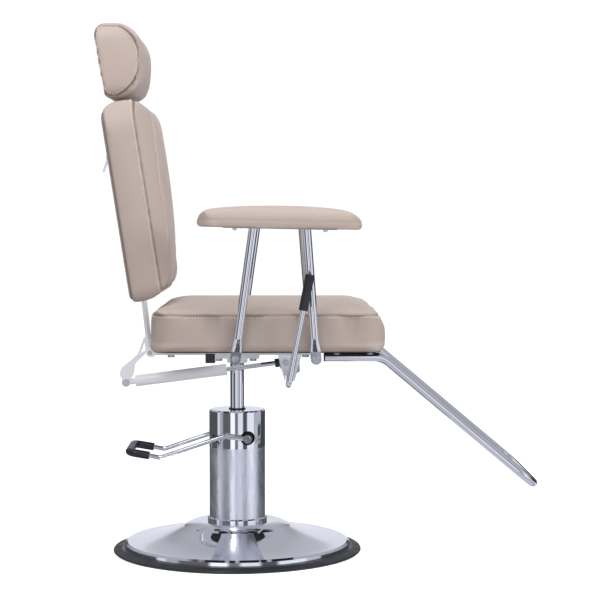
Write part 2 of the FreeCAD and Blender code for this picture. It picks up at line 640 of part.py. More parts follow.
def build_seat():
    board_foot = S.cover_top
    board_top = board_foot + S.board_gauge
    board = padded("board_blank", "XY", round_plan(S.board_rear, S.board_front, S.board_half, S.board_corner),
                   board_foot, board_top)
    spots = seat_bolt_spots() + footrest_bolt_spots()
    pockets = [cylinder("head_pocket", S.screw_head + S.bolt_gap, S.screw_sink + 1,
                        (x, y, board_top - S.screw_sink))
               for x, y in footrest_bolt_spots()]
    keep("seat_board", cut("board", board, bolt_holes("board_hole", spots) + pockets))
    spare = 6
    cover = padded("cover_blank", "XY", round_plan(S.board_rear - spare, S.board_front + spare,
                                                   S.board_half + spare,
                                                   S.board_corner + spare), S.frame_top, S.cover_top)
    keep("dust_cover", cut("cover", cover, bolt_holes("cover_hole", spots)))

    rear, front, half = S.cushion_rear, S.cushion_front, S.cushion_half
    foot, seam, crown = S.cushion_foot, S.cushion_seam, S.cushion_crown
    plan = padded("cushion_plan", "XY", round_plan(rear, front, half, S.cushion_corner), foot, crown + 5)
    middle = (rear + front) * 0.5
    tuck, roll = 10, 3
    side = padded("cushion_side", "XZ", [
        (rear + tuck, foot), (front - 17, foot, (front - 4, foot + 12)),
        (front, foot + 36, (front - 2, foot + 54)),
        (front - 8, foot + 67, (front - 22, crown - 18)), (front - 57, crown - 3, (middle, crown)),
        (rear + 44, crown - 4, (rear + 13, seam + 18)), (rear, seam),
        (rear, foot + tuck, (rear + roll, foot + roll))],
        -half - 5, half + 5)
    across = padded("cushion_across", "YZ", [
        (-half + tuck, foot), (half - tuck, foot, (half - roll, foot + roll)), (half, foot + tuck),
        (half, seam + 6), (half - 20, seam + 20, (0, crown)), (-half + 20, seam + 20),
        (-half, seam + 6), (-half, foot + tuck, (-half + roll, foot + roll))], rear - 5, front + 5)
    recess = padded("board_recess", "XY", round_plan(S.board_rear, S.board_front, S.board_half,
                                                     S.board_corner),
                    foot - 1, foot + S.board_gauge)
    keep("seat_cushion", cut("cushion", common("cushion_blank", [plan, side, across]), [recess]))


def leg(label, foot_x, top_x, side):
    """One armrest leg: a tube whose foot is pressed flat and drilled for a bolt."""
    foot = vector((foot_x, S.leg_foot_y * side, S.leg_foot_z))
    top = vector((top_x, S.leg_top_y * side, S.leg_top_z))
    length = (top - foot).Length
    up = (top - foot).normalize()
    flat_top, round_foot, flat_half, width = 16, 44, 3, 11
    tab = box(label + "_tab", (-width, -flat_half, 0), (width, flat_half, flat_top))
    end = cylinder(label + "_end", width, flat_half * 2, (0, -flat_half, 0), "Y")
    low = document.addObject("Part::Ellipse", label + "_low")
    low.MajorRadius, low.MinorRadius = width, flat_half
    stand(low, (0, 0, flat_top), TURNS["Z"])
    high = document.addObject("Part::Circle", label + "_high")
    bind(high, "Radius", S.leg_radius)
    stand(high, (0, 0, round_foot), TURNS["Z"])
    neck = document.addObject("Part::Loft", label + "_neck")
    neck.Sections = [low, high]
    neck.Solid = True
    neck.Ruled = True
    pipe = cylinder(label + "_pipe", S.leg_radius, length - round_foot, (0, 0, round_foot))
    bore = cylinder(label + "_bore", S.leg_bore, length - round_foot, (0, 0, round_foot + 2))
    eye = cylinder(label + "_eye", S.seat_bolt_radius + S.bolt_gap, 20, (0, -10, 0), "Y")
    blank = cut(label + "_blank", fuse(label + "_whole", [tab, end, neck, pipe]), [bore, eye])
    turn = FreeCAD.Rotation(FreeCAD.Vector(1, 0, 0), FreeCAD.Vector(0, 1, 0), up, "ZXY")
    stand(blank, (foot_x, S.leg_foot_y * side, S.leg_foot_z), turn)
    above = box(label + "_above", (0, -40, 0), (S.pad_length, 40, 30))
    return cut(label, blank, [lean(group(label + "_trim", [above]), arm_frame(side))])


def build_arms():
    rear_legs = []
    front_legs = []
    strips = []
    bolts = []
    screws = []
    screw_spots = (S.strip_rear + 24, S.strip_front - 24)
    for side, name, way in ((-1, "right", "Y"), (1, "left", "-Y")):
        rear_legs.append(leg(name + "_rear_leg", S.middle_tube_x, S.rear_leg_top_x, side))
        front_legs.append(leg(name + "_front_leg", S.front_tube_x, S.front_leg_top_x, side))
        strip = box(name + "_strip", (S.strip_rear, -S.strip_half, 0),
                    (S.strip_front, S.strip_half, S.strip_gauge))
        strip_holes = [cylinder(name + "_strip_hole", 2.75, 12, (x, 0, -6)) for x in screw_spots]
        strips.append(lean(cut(name + "_strip_drilled", strip, strip_holes), arm_frame(side)))
        for x in screw_spots:
            dome = document.addObject("Part::Sphere", name + "_dome")
            dome.Radius, dome.Angle1, dome.Angle2, dome.Angle3 = 5, -90, 0, 360
            stand(dome, (x, 0, 0), TURNS["Z"])
            shank = cylinder(name + "_screw_shank", 2.5, 15 + S.strip_gauge, (x, 0, 0))
            screws.append(lean(fuse(name + "_arm_screw", [dome, shank]), arm_frame(side)))
        for x in (S.middle_tube_x, S.front_tube_x):
            place = (x, (S.leg_foot_y + 4.2) * side, S.leg_foot_z)
            bolts.append(bolt(name + "_arm_bolt", S.seat_bolt_radius, 7.5, 5, place, 28, way))

        length, half = S.pad_length, S.pad_half
        plan = padded(name + "_pad_plan", "XY", [
            (half, -half), (length - half, -half, (length, 0)), (length - half, half),
            (half, half, (0, 0))], 0, S.pad_crown + 5)
        crown = S.pad_crown
        profile = padded(name + "_pad_profile", "XZ", [
            (0, 12, (3, 3)), (10, 0), (length - 12, 0, (length - 3, 3)), (length, 12),
            (length - 1, 19, (length - 17, crown - 15)), (length - 42, crown - 6, (length * 0.55, crown)),
            (38, crown - 9, (9, crown - 19))], -half - 5, half + 5)
        roll = padded(name + "_pad_roll", "YZ", [
            (-half, -5), (half, -5), (half, 17, (half * 0.74, crown * 0.78)), (8, crown + 2),
            (-8, crown + 2, (-half * 0.74, crown * 0.78)), (-half, 17)], -5, length + 5)
        hollows = [cylinder(name + "_pilot", 2.6, 15.5 + S.strip_gauge, (x, 0, 0)) for x in screw_spots]
        hollows.append(box(name + "_strip_bed", (S.strip_rear, -S.strip_half, -1),
                           (S.strip_front, S.strip_half, S.strip_gauge)))
        pad = cut(name + "_pad", common(name + "_pad_blank", [plan, profile, roll]), hollows)
        keep(name + "_arm_pad", lean(pad, arm_frame(side)))
    keep("arm_rear_legs", group("rear_leg_pair", rear_legs))
    keep("arm_front_legs", group("front_leg_pair", front_legs))
    keep("arm_strips", group("strip_pair", strips))
    keep("arm_bolts", group("arm_bolt_set", bolts))
    keep("arm_screws", group("arm_screw_set", screws))


def build_footrest():
    end_x = S.foot_bend_x + S.foot_length * cosine(S.foot_slope)
    end_z = S.foot_z - S.foot_length * sine(S.foot_slope)
    half = S.foot_half
    near = [(S.foot_rear, -half, S.foot_z), (S.foot_bend_x, -half, S.foot_z), (end_x, -half, end_z)]
    places = near + [(x, -y, z) for x, y, z in reversed(near)]
    frame = bent("foot_tube", places, 48, S.foot_tube, S.foot_bore)
    holes = [cylinder("foot_hole", S.seat_bolt_radius + S.bolt_gap, 30, (x, y, S.foot_z))
             for x, y in footrest_bolt_spots()]
    keep("footrest_tube", cut("foot_frame", frame, holes))

    inset = half - S.foot_tube
    tread = box("tread_sheet", (S.tread_start, -inset, -S.tread_gauge * 0.5),
                (S.tread_end, inset, S.tread_gauge * 0.5))
    keep("footrest_plate", lean(group("tread", [tread]), TREAD_FRAME))

    plugs = []
    for side in (-1, 1):
        head = cylinder("plug_head", S.foot_tube, 3, (S.foot_rear - 3, half * side, S.foot_z), "X")
        stem = cylinder("plug_stem", S.foot_bore - 0.05, 10, (S.foot_rear, half * side, S.foot_z), "X")
        plugs.append(fuse("plug", [head, stem]))
    keep("footrest_plugs", group("plug_pair", plugs))

    bolts = []
    board_top = S.cover_top + S.board_gauge
    for x, y in footrest_bolt_spots():
        head = cylinder("foot_bolt_head", S.screw_head, 4, (x, y, board_top - 4))
        shank = cylinder("foot_bolt_shank", S.seat_bolt_radius, board_top - S.foot_z, (x, y, S.foot_z))
        washer = tube("foot_washer", 9, S.seat_bolt_radius, S.frame_top - S.foot_z - S.foot_tube,
                      (x, y, S.foot_z + S.foot_tube))
        bolts.append(fuse("foot_bolt_set", [head, shank, washer]))
    keep("footrest_bolts", group("foot_bolts", bolts))


def build_back():
    x, z = S.hinge_x, S.hinge_z
    rise = 205
    sin_a, cos_a = sine(S.back_lean), cosine(S.back_lean)

    def in_back(along, up):
        return (S.back_x + along * cos_a - up * sin_a, S.back_z + along * sin_a + up * cos_a)

    gauge = S.strap_gauge
    front = S.board_back
    strap = padded("strap_bar", "XZ", [
        (x - 7.5, z + 2), (x - 1.5, z + 2), in_back(front, -6), in_back(front, rise),
        in_back(front - gauge, rise),
        in_back(front - gauge, -6)], -S.strap_half, S.strap_half)
    barrel = cylinder("strap_barrel", S.hinge_barrel, S.strap_half * 2, (x, -S.strap_half, z), "Y")
    barrel_bore = cylinder("strap_bore", S.hinge_pin_radius + S.running_gap, S.strap_half * 2 + 10,
                           (x, -S.strap_half - 5, z), "Y")
    bolt_rows = (60, 150)
    bolt_half = 24
    spots = [(y * side, up) for up in bolt_rows for side in (-1, 1) for y in (bolt_half,)]
    holes = lean(group("strap_holes", [cylinder("strap_hole", 3.25, 40, (0, y, up), "X") for y, up in spots]),
                 BACK_FRAME)
    keep("back_strap", cut("strap", fuse("strap_blank", [strap, barrel]), [barrel_bore, holes]))

    outline = [(-198.6, 477), (-203.5, 477), (-217.5, 440), (-232, 427), (-252, 411), (-257, 402),
               (-257, 391),
               (-251, 384), (-241, 382), (-232, 387), (-228, 395), (-225, 416), (-217.5, 425), (-205, 436),
               (-197.1, 444), (-197.1, 452.5)]
    window = [(-202.5, 468), (-212, 441.5), (-200.5, 448)]
    plates = []
    for label, y in (("near", S.gas_y - S.eye_half - 1 - S.crank_gauge), ("far", S.gas_y + S.eye_half + 1)):
        plate = padded(label + "_plate", "XZ", outline, y, y + S.crank_gauge)
        opening = padded(label + "_window", "XZ", window, y - 1, y + S.crank_gauge + 1)
        hole = cylinder(label + "_hole", S.gas_pin_radius + 0.02, 12, (S.gas_x, y - 4, S.gas_z), "Y")
        plates.append(cut(label + "_crank", plate, [opening, hole]))
    keep("back_crank", cut("crank_pair", group("crank_plates", plates), [strap]))

    reach = S.eye_half + 1 + S.crank_gauge
    pin = cylinder("rear_pin_shank", S.gas_pin_radius, reach * 2 + 4,
                   (S.gas_x, S.gas_y - reach - 2, S.gas_z), "Y")
    head = cylinder("rear_pin_head", 8, 4, (S.gas_x, S.gas_y - reach - 4, S.gas_z), "Y")
    nut = hexagon("rear_pin_nut", 7.5, 5, (S.gas_x, S.gas_y + reach, S.gas_z), "Y")
    keep("gas_rear_pin", fuse("rear_pin", [pin, head, nut]))

    board_back, board_front = S.board_back, S.board_back + S.board_gauge
    sheet_blank = box("back_sheet", (board_back, -170, 8), (board_front, 170, 396))
    slot = box("back_slot", (board_back - 5, -S.guide_half, S.guide_foot),
               (board_front + 5, S.guide_half, 400))
    sheet_holes = [cylinder("sheet_hole", 3.25, 40, (0, y, up), "X") for y, up in spots]
    keep("back_board", lean(cut("back_sheet_drilled", sheet_blank, [slot, *sheet_holes]), BACK_FRAME))

    channel = box("guide_outside", (S.guide_back, -S.guide_half, S.guide_foot),
                  (S.guide_front, S.guide_half, S.guide_top))
    gap = S.running_gap
    bore = box("guide_bore", (S.bar_back - gap, -S.bar_half - gap, S.guide_foot - 1),
               (S.bar_back + S.bar_gauge + gap, S.bar_half + gap, S.guide_top + 1))
    keep("headrest_guide", lean(cut("guide", channel, [bore]), BACK_FRAME))

    side, crown, top, half = S.back_side, S.back_crown, S.back_top, S.back_half
    profile = padded("back_profile", "XZ", [
        (0, 14, (3, 0)), (14, -9), (50, -6, (81, 16)), (crown - 22, 66, (crown - 4, 250)),
        (crown - 5, 366, (94, 406)), (50, top), (38, top, (11, top - 11)), (0, top - 38)],
        -half - 5, half + 5)
    section = padded("back_section", "XY", [
        (0, -half + 10), (10, -half), (side, -half, (crown + 2, 0)), (side, half), (10, half),
        (0, half - 10)],
        -20, top + 10)
    front_view = padded("back_front_view", "YZ", [
        (-half + 45, -20), (half - 45, -20, (half - 12, -6)), (half, 36),
        (half, top - 60, (half - 17, top - 18)),
        (half - 60, top + 5), (-half + 60, top + 5, (-half + 17, top - 18)), (-half, top - 60),
        (-half, 36, (-half + 12, -6))], -10, crown + 20)
    pocket = box("back_pocket", (13, -171, 7), (board_front, 171, 400))
    strap_slot = box("back_strap_slot", (13, -S.strap_half - 1, -30), (21, S.strap_half + 1, 10))
    bar_slot = box("back_bar_slot", (S.bar_back - 1, -S.bar_half - 1.5, 390),
                   (S.bar_back + S.bar_gauge + 1, S.bar_half + 1.5, top + 20))
    latch_slot = box("back_latch_slot", (-1, -9.5, 289), (14, 9.5, 309))
    keep("back_cushion", lean(cut("back_pad", common("back_blank", [profile, section, front_view]),
                                  [pocket, strap_slot, bar_slot, latch_slot]), BACK_FRAME))


def build_headrest():
    bar = box("bar", (S.bar_back, -S.bar_half, S.bar_foot), (S.bar_back + S.bar_gauge, S.bar_half, S.bar_top))
    keep("headrest_bar", lean(group("bar_piece", [bar]), BACK_FRAME))
    half = S.headrest_half
    profile = padded("rest_profile", "XZ", [
        (-282, 1009, (-277, 996)), (-262, 993, (-218, 1005)), (-192, 1050, (-188, 1082)),
        (-199, 1114, (-222, 1146)), (-262, 1158, (-294, 1151)), (-303, 1131)], -half - 5, half + 5)
    section = padded("rest_section", "XY", [
        (-310, -half + 12), (-298, -half), (-208, -half, (-187, 0)), (-208, half), (-298, half),
        (-310, half - 12)], 980, 1165)
    front_view = padded("rest_front_view", "YZ", [
        (-half + 34, 990), (half - 34, 990, (half - 10, 1000)), (half, 1024), (half, 1122, (half - 10, 1148)),
        (half - 36, 1158), (-half + 36, 1158, (-half + 10, 1148)), (-half, 1122),
        (-half, 1024, (-half + 10, 1000))],
        -320, -170)
    slot = box("rest_slot", (S.bar_back, -S.bar_half, 400), (S.bar_back + S.bar_gauge, S.bar_half, S.bar_top))
    keep("headrest_pad", cut("rest", common("rest_blank", [profile, section, front_view]),
                             [lean(group("rest_bar_slot", [slot]), BACK_FRAME)]))


def build_latch():
    x, z = S.latch_x, S.latch_z
    pivot, plate_back = 2.5, -3
    plate = box("latch_plate", (plate_back, -16, z - 33), (0, 16, z + 13))
    block = box("latch_block", (0, -9, z - 20), (S.guide_back, 9, z - 2))
    ears = [box("latch_ear", (x - 6, side - 1.5, z - 8), (plate_back, side + 1.5, z + 8))
            for side in (-11.5, 11.5)]
    hole = cylinder("latch_hole", pivot + S.running_gap, 40, (x, -20, z), "Y")
    keep("latch_housing", lean(cut("latch_frame", fuse("latch_blank", [plate, block, *ears]), [hole]),
                               BACK_FRAME))
    hub = cylinder("latch_hub", 5, 19, (x, -9.5, z), "Y")
    pin = cylinder("latch_pin", pivot, 26, (x, -13, z), "Y")
    handle = padded("latch_handle", "XZ", [
        (x - 4.5, z + 2), (x - 2, z - 4.5), (x - 15.5, z - 28), (x - 18, z - 28), (x - 18, z - 25)],
        -9.5, 9.5)
    keep("latch_lever", lean(fuse("latch_whole", [hub, pin, handle]), BACK_FRAME))


def build_gas_spring():
    length = S.gas_head - S.gas_foot
    skin = cylinder("gas_skin", S.gas_radius, length, (S.gas_foot, 0, 0), "X")
    neck = cylinder("eye_neck", 6.5, S.gas_foot, (0, 0, 0), "X")
    ring = cylinder("eye_ring", 10, S.eye_half * 2, (0, -S.eye_half, 0), "Y")
    bore = cylinder("gas_hollow", S.gas_bore, length - 12, (S.gas_foot + 6, 0, 0), "X")
    gland = cylinder("gas_gland", S.gas_rod_radius + S.running_gap, 20, (S.gas_head - 10, 0, 0), "X")
    eye = cylinder("eye_hole", S.gas_pin_radius + S.running_gap, 40, (0, -20, 0), "Y")
    keep("gas_cylinder", lean(cut("gas_tube", fuse("gas_blank", [skin, neck, ring]), [bore, gland, eye]),
                              GAS_FRAME))

    piston_foot, piston_length = 110, 12
    thread_end = S.nut_top + 3
    piston = cylinder("gas_disc", S.gas_bore - S.running_gap, piston_length, (piston_foot, 0, 0), "X")
    rod = cylinder("gas_stem", S.gas_rod_radius, thread_end - piston_foot, (piston_foot, 0, 0), "X")
    keep("gas_rod", lean(fuse("gas_rod_set", [piston, rod]), GAS_FRAME))

    nut = tube("lock_nut", S.nut_radius, S.gas_rod_radius, S.nut_top - S.nut_foot, (S.nut_foot, 0, 0), "X")
    keep("gas_lock_nut", lean(group("lock_nut_piece", [nut]), GAS_FRAME))

    block = padded("head_block", "XZ", [
        (S.nut_top, -13), (S.head_end - 6, -13), (S.head_end, -7), (S.head_end, 7), (S.head_end - 6, 13),
        (S.nut_top, 13)], -8, 8)
    slack = cylinder("head_slack", S.slack_radius, 40, (S.gas_span, -20, 0), "Y")
    thread = cylinder("head_thread", S.gas_rod_radius, 3, (S.nut_top, 0, 0), "X")
    pin_radius = 2.5
    guide = cylinder("head_guide", pin_radius + S.running_gap, 30, (S.gas_span, 0, 0), "X")
    keep("release_head", lean(cut("head", block, [slack, thread, guide]), GAS_FRAME))
    pin = cylinder("release_stem", pin_radius, 11, (S.release_tip - 11, 0, 0), "X")
    keep("release_pin", lean(group("release_piece", [pin]), GAS_FRAME))


def build_lever():
    top = vector((S.lever_x + S.lever_length * sine(S.lever_lean), S.lever_y,
                  S.lever_z + S.lever_length * cosine(S.lever_lean)))
    corner = vector((S.lever_x, S.lever_y, S.lever_z))
    inner = vector((S.lever_x, -S.cheek_near + 3, S.lever_z))
    rod = bent("lever_rod", [top, corner, inner], 12, S.lever_rod)
    x, z = S.lever_x, S.lever_z
    tab_half = 5
    hub = cylinder("tab_hub", S.lever_rod + 2, tab_half * 2, (x, S.gas_y - tab_half, z), "Y")
    tab = padded("tab_arm", "XZ", [
        (x, z - 7.5), (x + 8, z - 7.5), (x + 27, z + 5), (x + 26, z + 34), (x + 21.5, z + 34),
        (x + 20.8, z + 19),
        (x + 21.5, z + 9), (x + 7, z - 1)], S.gas_y - tab_half, S.gas_y + tab_half)
    keep("lever_bar", fuse("lever", [rod, hub, tab]))
    skin = cylinder("grip_skin", S.lever_grip, S.lever_length + 2 - S.lever_grip_foot,
                    (0, 0, S.lever_grip_foot))
    core = cylinder("grip_core", S.lever_rod, S.lever_length - S.lever_grip_foot, (0, 0, S.lever_grip_foot))
    keep("lever_grip", lean(cut("grip", skin, [core]), LEVER_FRAME))


for build in (build_base, build_pump, build_pedal, build_plunger, build_piston, build_seat_frame, build_hinge,
              build_bracket, build_seat, build_arms, build_footrest, build_back, build_headrest, build_latch,
              build_gas_spring, build_lever):
    build()
document.recompute()

failed = [thing.Label for thing in document.Objects if {"Invalid", "Error"} & set(thing.State)]
failed += [thing.Label for thing in sub_parts if thing.Shape.isNull() or not thing.Shape.isValid()]
if failed:
    raise RuntimeError("These objects failed: " + ", ".join(failed))

os.makedirs("parts", exist_ok=True)
for thing in sub_parts:
    thing.Shape.exportStep(f"parts/{thing.Label}.step")
print(len(sub_parts), "sub-parts written")
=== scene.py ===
import json
import math

import bmesh
import bpy
import numpy as np
from mathutils import Matrix, Vector, noise
from mathutils.bvhtree import BVHTree
from mathutils.kdtree import KDTree


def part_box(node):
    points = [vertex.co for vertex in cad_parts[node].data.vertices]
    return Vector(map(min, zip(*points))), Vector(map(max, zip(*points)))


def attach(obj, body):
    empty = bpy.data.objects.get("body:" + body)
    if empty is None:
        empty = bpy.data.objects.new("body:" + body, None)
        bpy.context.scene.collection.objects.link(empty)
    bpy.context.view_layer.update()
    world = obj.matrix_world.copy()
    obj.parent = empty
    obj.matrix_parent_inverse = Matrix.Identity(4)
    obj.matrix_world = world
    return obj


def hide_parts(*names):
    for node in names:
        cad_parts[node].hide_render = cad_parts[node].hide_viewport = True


# Hydraulic barber chair: upholstery, finishes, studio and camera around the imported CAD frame.
# +X is the way the sitter faces, +Y is the sitter's left, +Z is up. Lengths are metres.

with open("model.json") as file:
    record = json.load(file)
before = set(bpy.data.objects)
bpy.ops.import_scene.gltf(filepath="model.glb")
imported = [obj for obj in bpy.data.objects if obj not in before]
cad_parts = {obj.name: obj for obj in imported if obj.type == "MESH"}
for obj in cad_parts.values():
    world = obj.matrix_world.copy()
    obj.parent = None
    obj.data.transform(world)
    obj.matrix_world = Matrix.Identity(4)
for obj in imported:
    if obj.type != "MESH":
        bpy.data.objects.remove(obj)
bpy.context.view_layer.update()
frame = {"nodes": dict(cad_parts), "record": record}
NODES = frame["nodes"]
MM = 0.001


# ---------------------------------------------------------------- mesh helpers

def link(name, mesh):
    thing = bpy.data.objects.new(name, mesh)
    bpy.context.scene.collection.objects.link(thing)
    return thing


def mesh_from(name, verts, faces):
    mesh = bpy.data.meshes.new(name)
    mesh.from_pydata(verts, [], faces)
    mesh.shade_smooth()
    return link(name, mesh)


def places(thing):
    spots = np.empty(len(thing.data.vertices) * 3)
    thing.data.vertices.foreach_get("co", spots)
    return spots.reshape(-1, 3)


def normals(thing):
    ways = np.empty(len(thing.data.vertices) * 3)
    thing.data.vertices.foreach_get("normal", ways)
    return ways.reshape(-1, 3)


def move_to(thing, spots):
    thing.data.vertices.foreach_set("co", spots.ravel())
    thing.data.update()


def bake(thing):
    """Puts the result of the thing's modifiers into its mesh."""
    bpy.context.view_layer.update()
    seen = thing.evaluated_get(bpy.context.evaluated_depsgraph_get())
    mesh = bpy.data.meshes.new_from_object(seen)
    thing.modifiers.clear()
    thing.data = mesh
    mesh.name = thing.name
    mesh.shade_smooth()


def modify(thing, kind, **settings):
    modifier = thing.modifiers.new(kind.lower(), kind)
    for key, value in settings.items():
        setattr(modifier, key, value)
    return modifier


def tree_of(thing):
    corners = [v.co.copy() for v in thing.data.vertices]
    return BVHTree.FromPolygons(corners, [tuple(p.vertices) for p in thing.data.polygons])


def hull_tree(thing):
    shape = bmesh.new()
    shape.from_mesh(thing.data)
    bmesh.ops.convex_hull(shape, input=shape.verts)
    bmesh.ops.delete(shape, geom=[v for v in shape.verts if not v.link_faces], context="VERTS")
    tree = BVHTree.FromBMesh(shape)
    shape.free()
    return tree


def to_frame(spots, turn):
    """Points in a leaning frame's own coordinates."""
    back = np.array(turn.inverted())
    return spots @ back[:3, :3].T + back[:3, 3]


# ---------------------------------------------------------------- frames of the pads

def leaning(place, angle):
    """A frame at a place, turned about Y so that a positive angle leans its top forwards."""
    return Matrix.Translation(place) @ Matrix.Rotation(math.radians(angle), 4, "Y")


BACK = leaning((-0.224, 0, 0.565), -8.8)
ARM_TILT = 1.17
ARM_ACROSS = 0.285
ARMS = {side: leaning((-0.078, way * ARM_ACROSS, 0.720), ARM_TILT)
        for side, way in (("right", -1), ("left", 1))}
ARM_LENGTH = 0.343
BACK_MIDDLE = 0.205

# How many directions a seam is looked for in, and how the cloth is blown up.
SEAM_RAYS = 1400
ARM_SEAM_RAYS = 1200
SWELL_FRAMES = 20
SWELL_PRESSURE = 4.0
ARM_SWELL_PRESSURE = 3.0

SEAT_LOW, SEAT_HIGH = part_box("seat_cushion")
REST_LOW, REST_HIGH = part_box("headrest_pad")

# Where the seams lie: a height on the seat and the arm pads, and depths on the back.
SEAT_CREASE = 0.538
ARM_CREASE = 0.016
BACK_CREASE = 0.074
BACK_HEM = 0.007
# Each side panel of the headrest is where two circles overlap, with its corners rounded off. A circle is
# given as its centre's distance in front of the pad's back and below the pad's top, and its radius.
PANEL_FRONT = (18 * MM, 83 * MM, 82 * MM)
PANEL_REAR = (267 * MM, 50 * MM, 263 * MM)
PANEL_MIDDLE = (51 * MM, 83 * MM)
PANEL_SHARPNESS = 10
PANEL_START = math.radians(124)
PANEL_STEPS = 540


def channel(height):
    """How far from the middle the back's sewn channel is at a height in the back's frame."""
    return 0.098 + 0.030 * math.sin(math.pi * min(max((height - 0.01) / 0.40, 0.0), 1.0))


# ---------------------------------------------------------------- upholstery

def soft_copy(node, name, voxel, shrink):
    """An even mesh of a CAD pad, a little smaller than the pad."""
    source = NODES[node].data.copy()
    shape = bmesh.new()
    shape.from_mesh(source)
    bmesh.ops.remove_doubles(shape, verts=shape.verts, dist=0.00002)
    bmesh.ops.recalc_face_normals(shape, faces=shape.faces)
    shape.to_mesh(source)
    shape.free()
    thing = link(name, source)
    hull = hull_tree(thing)
    modify(thing, "REMESH", mode="VOXEL", voxel_size=voxel)
    modify(thing, "SMOOTH", factor=0.5, iterations=4)
    bake(thing)
    move_to(thing, places(thing) - normals(thing) * shrink)
    return thing, hull


def inflate(thing, held, pressure, cap):
    """Swells the pad as cloth under pressure. Held vertices stay, and no other moves further than cap."""
    start = places(thing)
    pins = thing.vertex_groups.new(name="held")
    pins.add([int(i) for i in np.nonzero(held)[0]], 1.0, "REPLACE")
    cloth = modify(thing, "CLOTH")
    cloth.settings.quality = 4
    cloth.settings.mass = 0.3
    cloth.settings.use_pressure = True
    cloth.settings.uniform_pressure_force = pressure
    cloth.settings.vertex_group_mass = "held"
    cloth.settings.effector_weights.gravity = 0
    cloth.settings.tension_stiffness = 12
    cloth.settings.compression_stiffness = 12
    cloth.settings.shear_stiffness = 6
    cloth.settings.bending_stiffness = 0.4
    cloth.collision_settings.use_collision = False
    cloth.point_cache.frame_start, cloth.point_cache.frame_end = 1, SWELL_FRAMES
    for step in range(1, SWELL_FRAMES + 1):
        bpy.context.scene.frame_set(step)
    bake(thing)
    thing.vertex_groups.clear()
    shift = places(thing) - start
    reach = np.linalg.norm(shift, axis=1, keepdims=True) + 1e-12
    move_to(thing, start + shift * (cap * np.tanh(reach / cap) / reach))
    bpy.context.scene.frame_set(1)


def inner(thing, hull, depth):
    """Which vertices are on a pocket's or recess's walls, further than depth inside the outer skin."""
    return np.array([hull.find_nearest(v.co)[3] > depth for v in thing.data.vertices])


def refine(thing):
    modify(thing, "SUBSURF", levels=1, render_levels=1)
    bake(thing)


def far_from(thing, lines):
    """Each vertex's distance from the nearest of some lines of hits."""
    spots = []
    for hits in lines:
        for (a, _), (b, _) in zip(hits, hits[1:] + hits[:1]):
            steps = max(1, math.ceil((b - a).length / MM)) if (b - a).length < 0.02 else 1
            spots += [a.lerp(b, step / steps) for step in range(steps)]
    tree = KDTree(len(spots))
    for i, spot in enumerate(spots):
        tree.insert(spot, i)
    tree.balance()
    return np.array([tree.find(v.co)[2] for v in thing.data.vertices])


def crease(thing, away, skin, depth, width):
    """Draws the skin in along a seam. away is each vertex's distance from the seam."""
    pull = depth * np.exp(-(away / width) ** 2) * skin
    move_to(thing, places(thing) - normals(thing) * pull[:, None])


# Painted shade along seams: a narrow dark line, a wider soft haze, and the haze's share of the darkness,
# standing in for the shade in a sewn seam.
SEAM_SHADE_LINE = 2.2 * MM
SEAM_SHADE_HAZE = 8 * MM
SEAM_SHADE_HAZE_SHARE = 0.38


def paint_seam_shade(thing, *distances, line_shade=1.0, gather_shade=0.0):
    """Paints shade into the vinyl along its seams and in its gathers, where the skin is folded in: a stored
    darkness, 0 to 1, that the vinyl material mixes towards a dark beige.
    """
    depth = sum(line_shade * np.exp(-(away / SEAM_SHADE_LINE) ** 2) + SEAM_SHADE_HAZE_SHARE * np.exp(-(away / SEAM_SHADE_HAZE) ** 2)
                for away in distances) + gather_shade
    seam_shade = thing.data.attributes.new("seam_shade", "FLOAT", "POINT")
    seam_shade.data.foreach_set("value", np.minimum(depth, 1.0).astype(np.float32))


def pucker(thing, away, skin, depth, reach, pitch, seed, drawn=(1, 1, 1), sunk=0.0):
    """Gathers that run out from a seam. They are longer along an axis where drawn is less than 1, and lie
    below the skin by the share sunk of their depth. Returns how deep each vertex lies in a gather, 0 to 1."""
    spots = places(thing)
    ways = normals(thing)
    gather_shade = np.zeros(len(away))
    for i in np.nonzero((away < reach) & (skin > 0.5))[0]:
        fade = (1 - away[i] / reach) ** 1.5
        wave = noise.noise(Vector(spots[i] * drawn) / pitch + Vector((seed, seed, seed)))
        spots[i] += ways[i] * (depth * fade * (wave - sunk))
        # The gather's depth is kept as painted shade: the vinyl is darkened where the skin sinks in.
        gather_shade[i] = fade * min(max(-2.4 * wave, 0.0), 1.0)
    move_to(thing, spots)
    return gather_shade


# ---------------------------------------------------------------- stitching

def loop_hits(tree, centre, ways, far=0.8):
    """Where rays that come in towards the centre meet the skin."""
    hits = []
    for way in ways:
        spot, normal, _, _ = tree.ray_cast(centre + way * far, -way)
        if spot is not None:
            hits.append((spot, normal))
    return hits


def evenly(hits, pitch, closed):
    """Points with normals at an even pitch along a line of hits."""
    spots = [spot for spot, _ in hits] + ([hits[0][0]] if closed else [])
    ways = [way for _, way in hits] + ([hits[0][1]] if closed else [])
    lengths = [0.0]
    for a, b in zip(spots, spots[1:]):
        lengths.append(lengths[-1] + (b - a).length)
    count = max(2, int(lengths[-1] / pitch))
    found = []
    for target in np.linspace(0, lengths[-1], count, endpoint=False):
        i = min(int(np.searchsorted(lengths, target, side="right")) - 1, len(spots) - 2)
        share = (target - lengths[i]) / max(lengths[i + 1] - lengths[i], 1e-9)
        found.append((spots[i].lerp(spots[i + 1], share), ways[i].lerp(ways[i + 1], share).normalized(),
                      (spots[i + 1] - spots[i]).normalized()))
    return found


STITCH_PITCH = 5.8 * MM
STITCH_LENGTH = 3.0 * MM
STITCH_RADIUS = 1.1 * MM


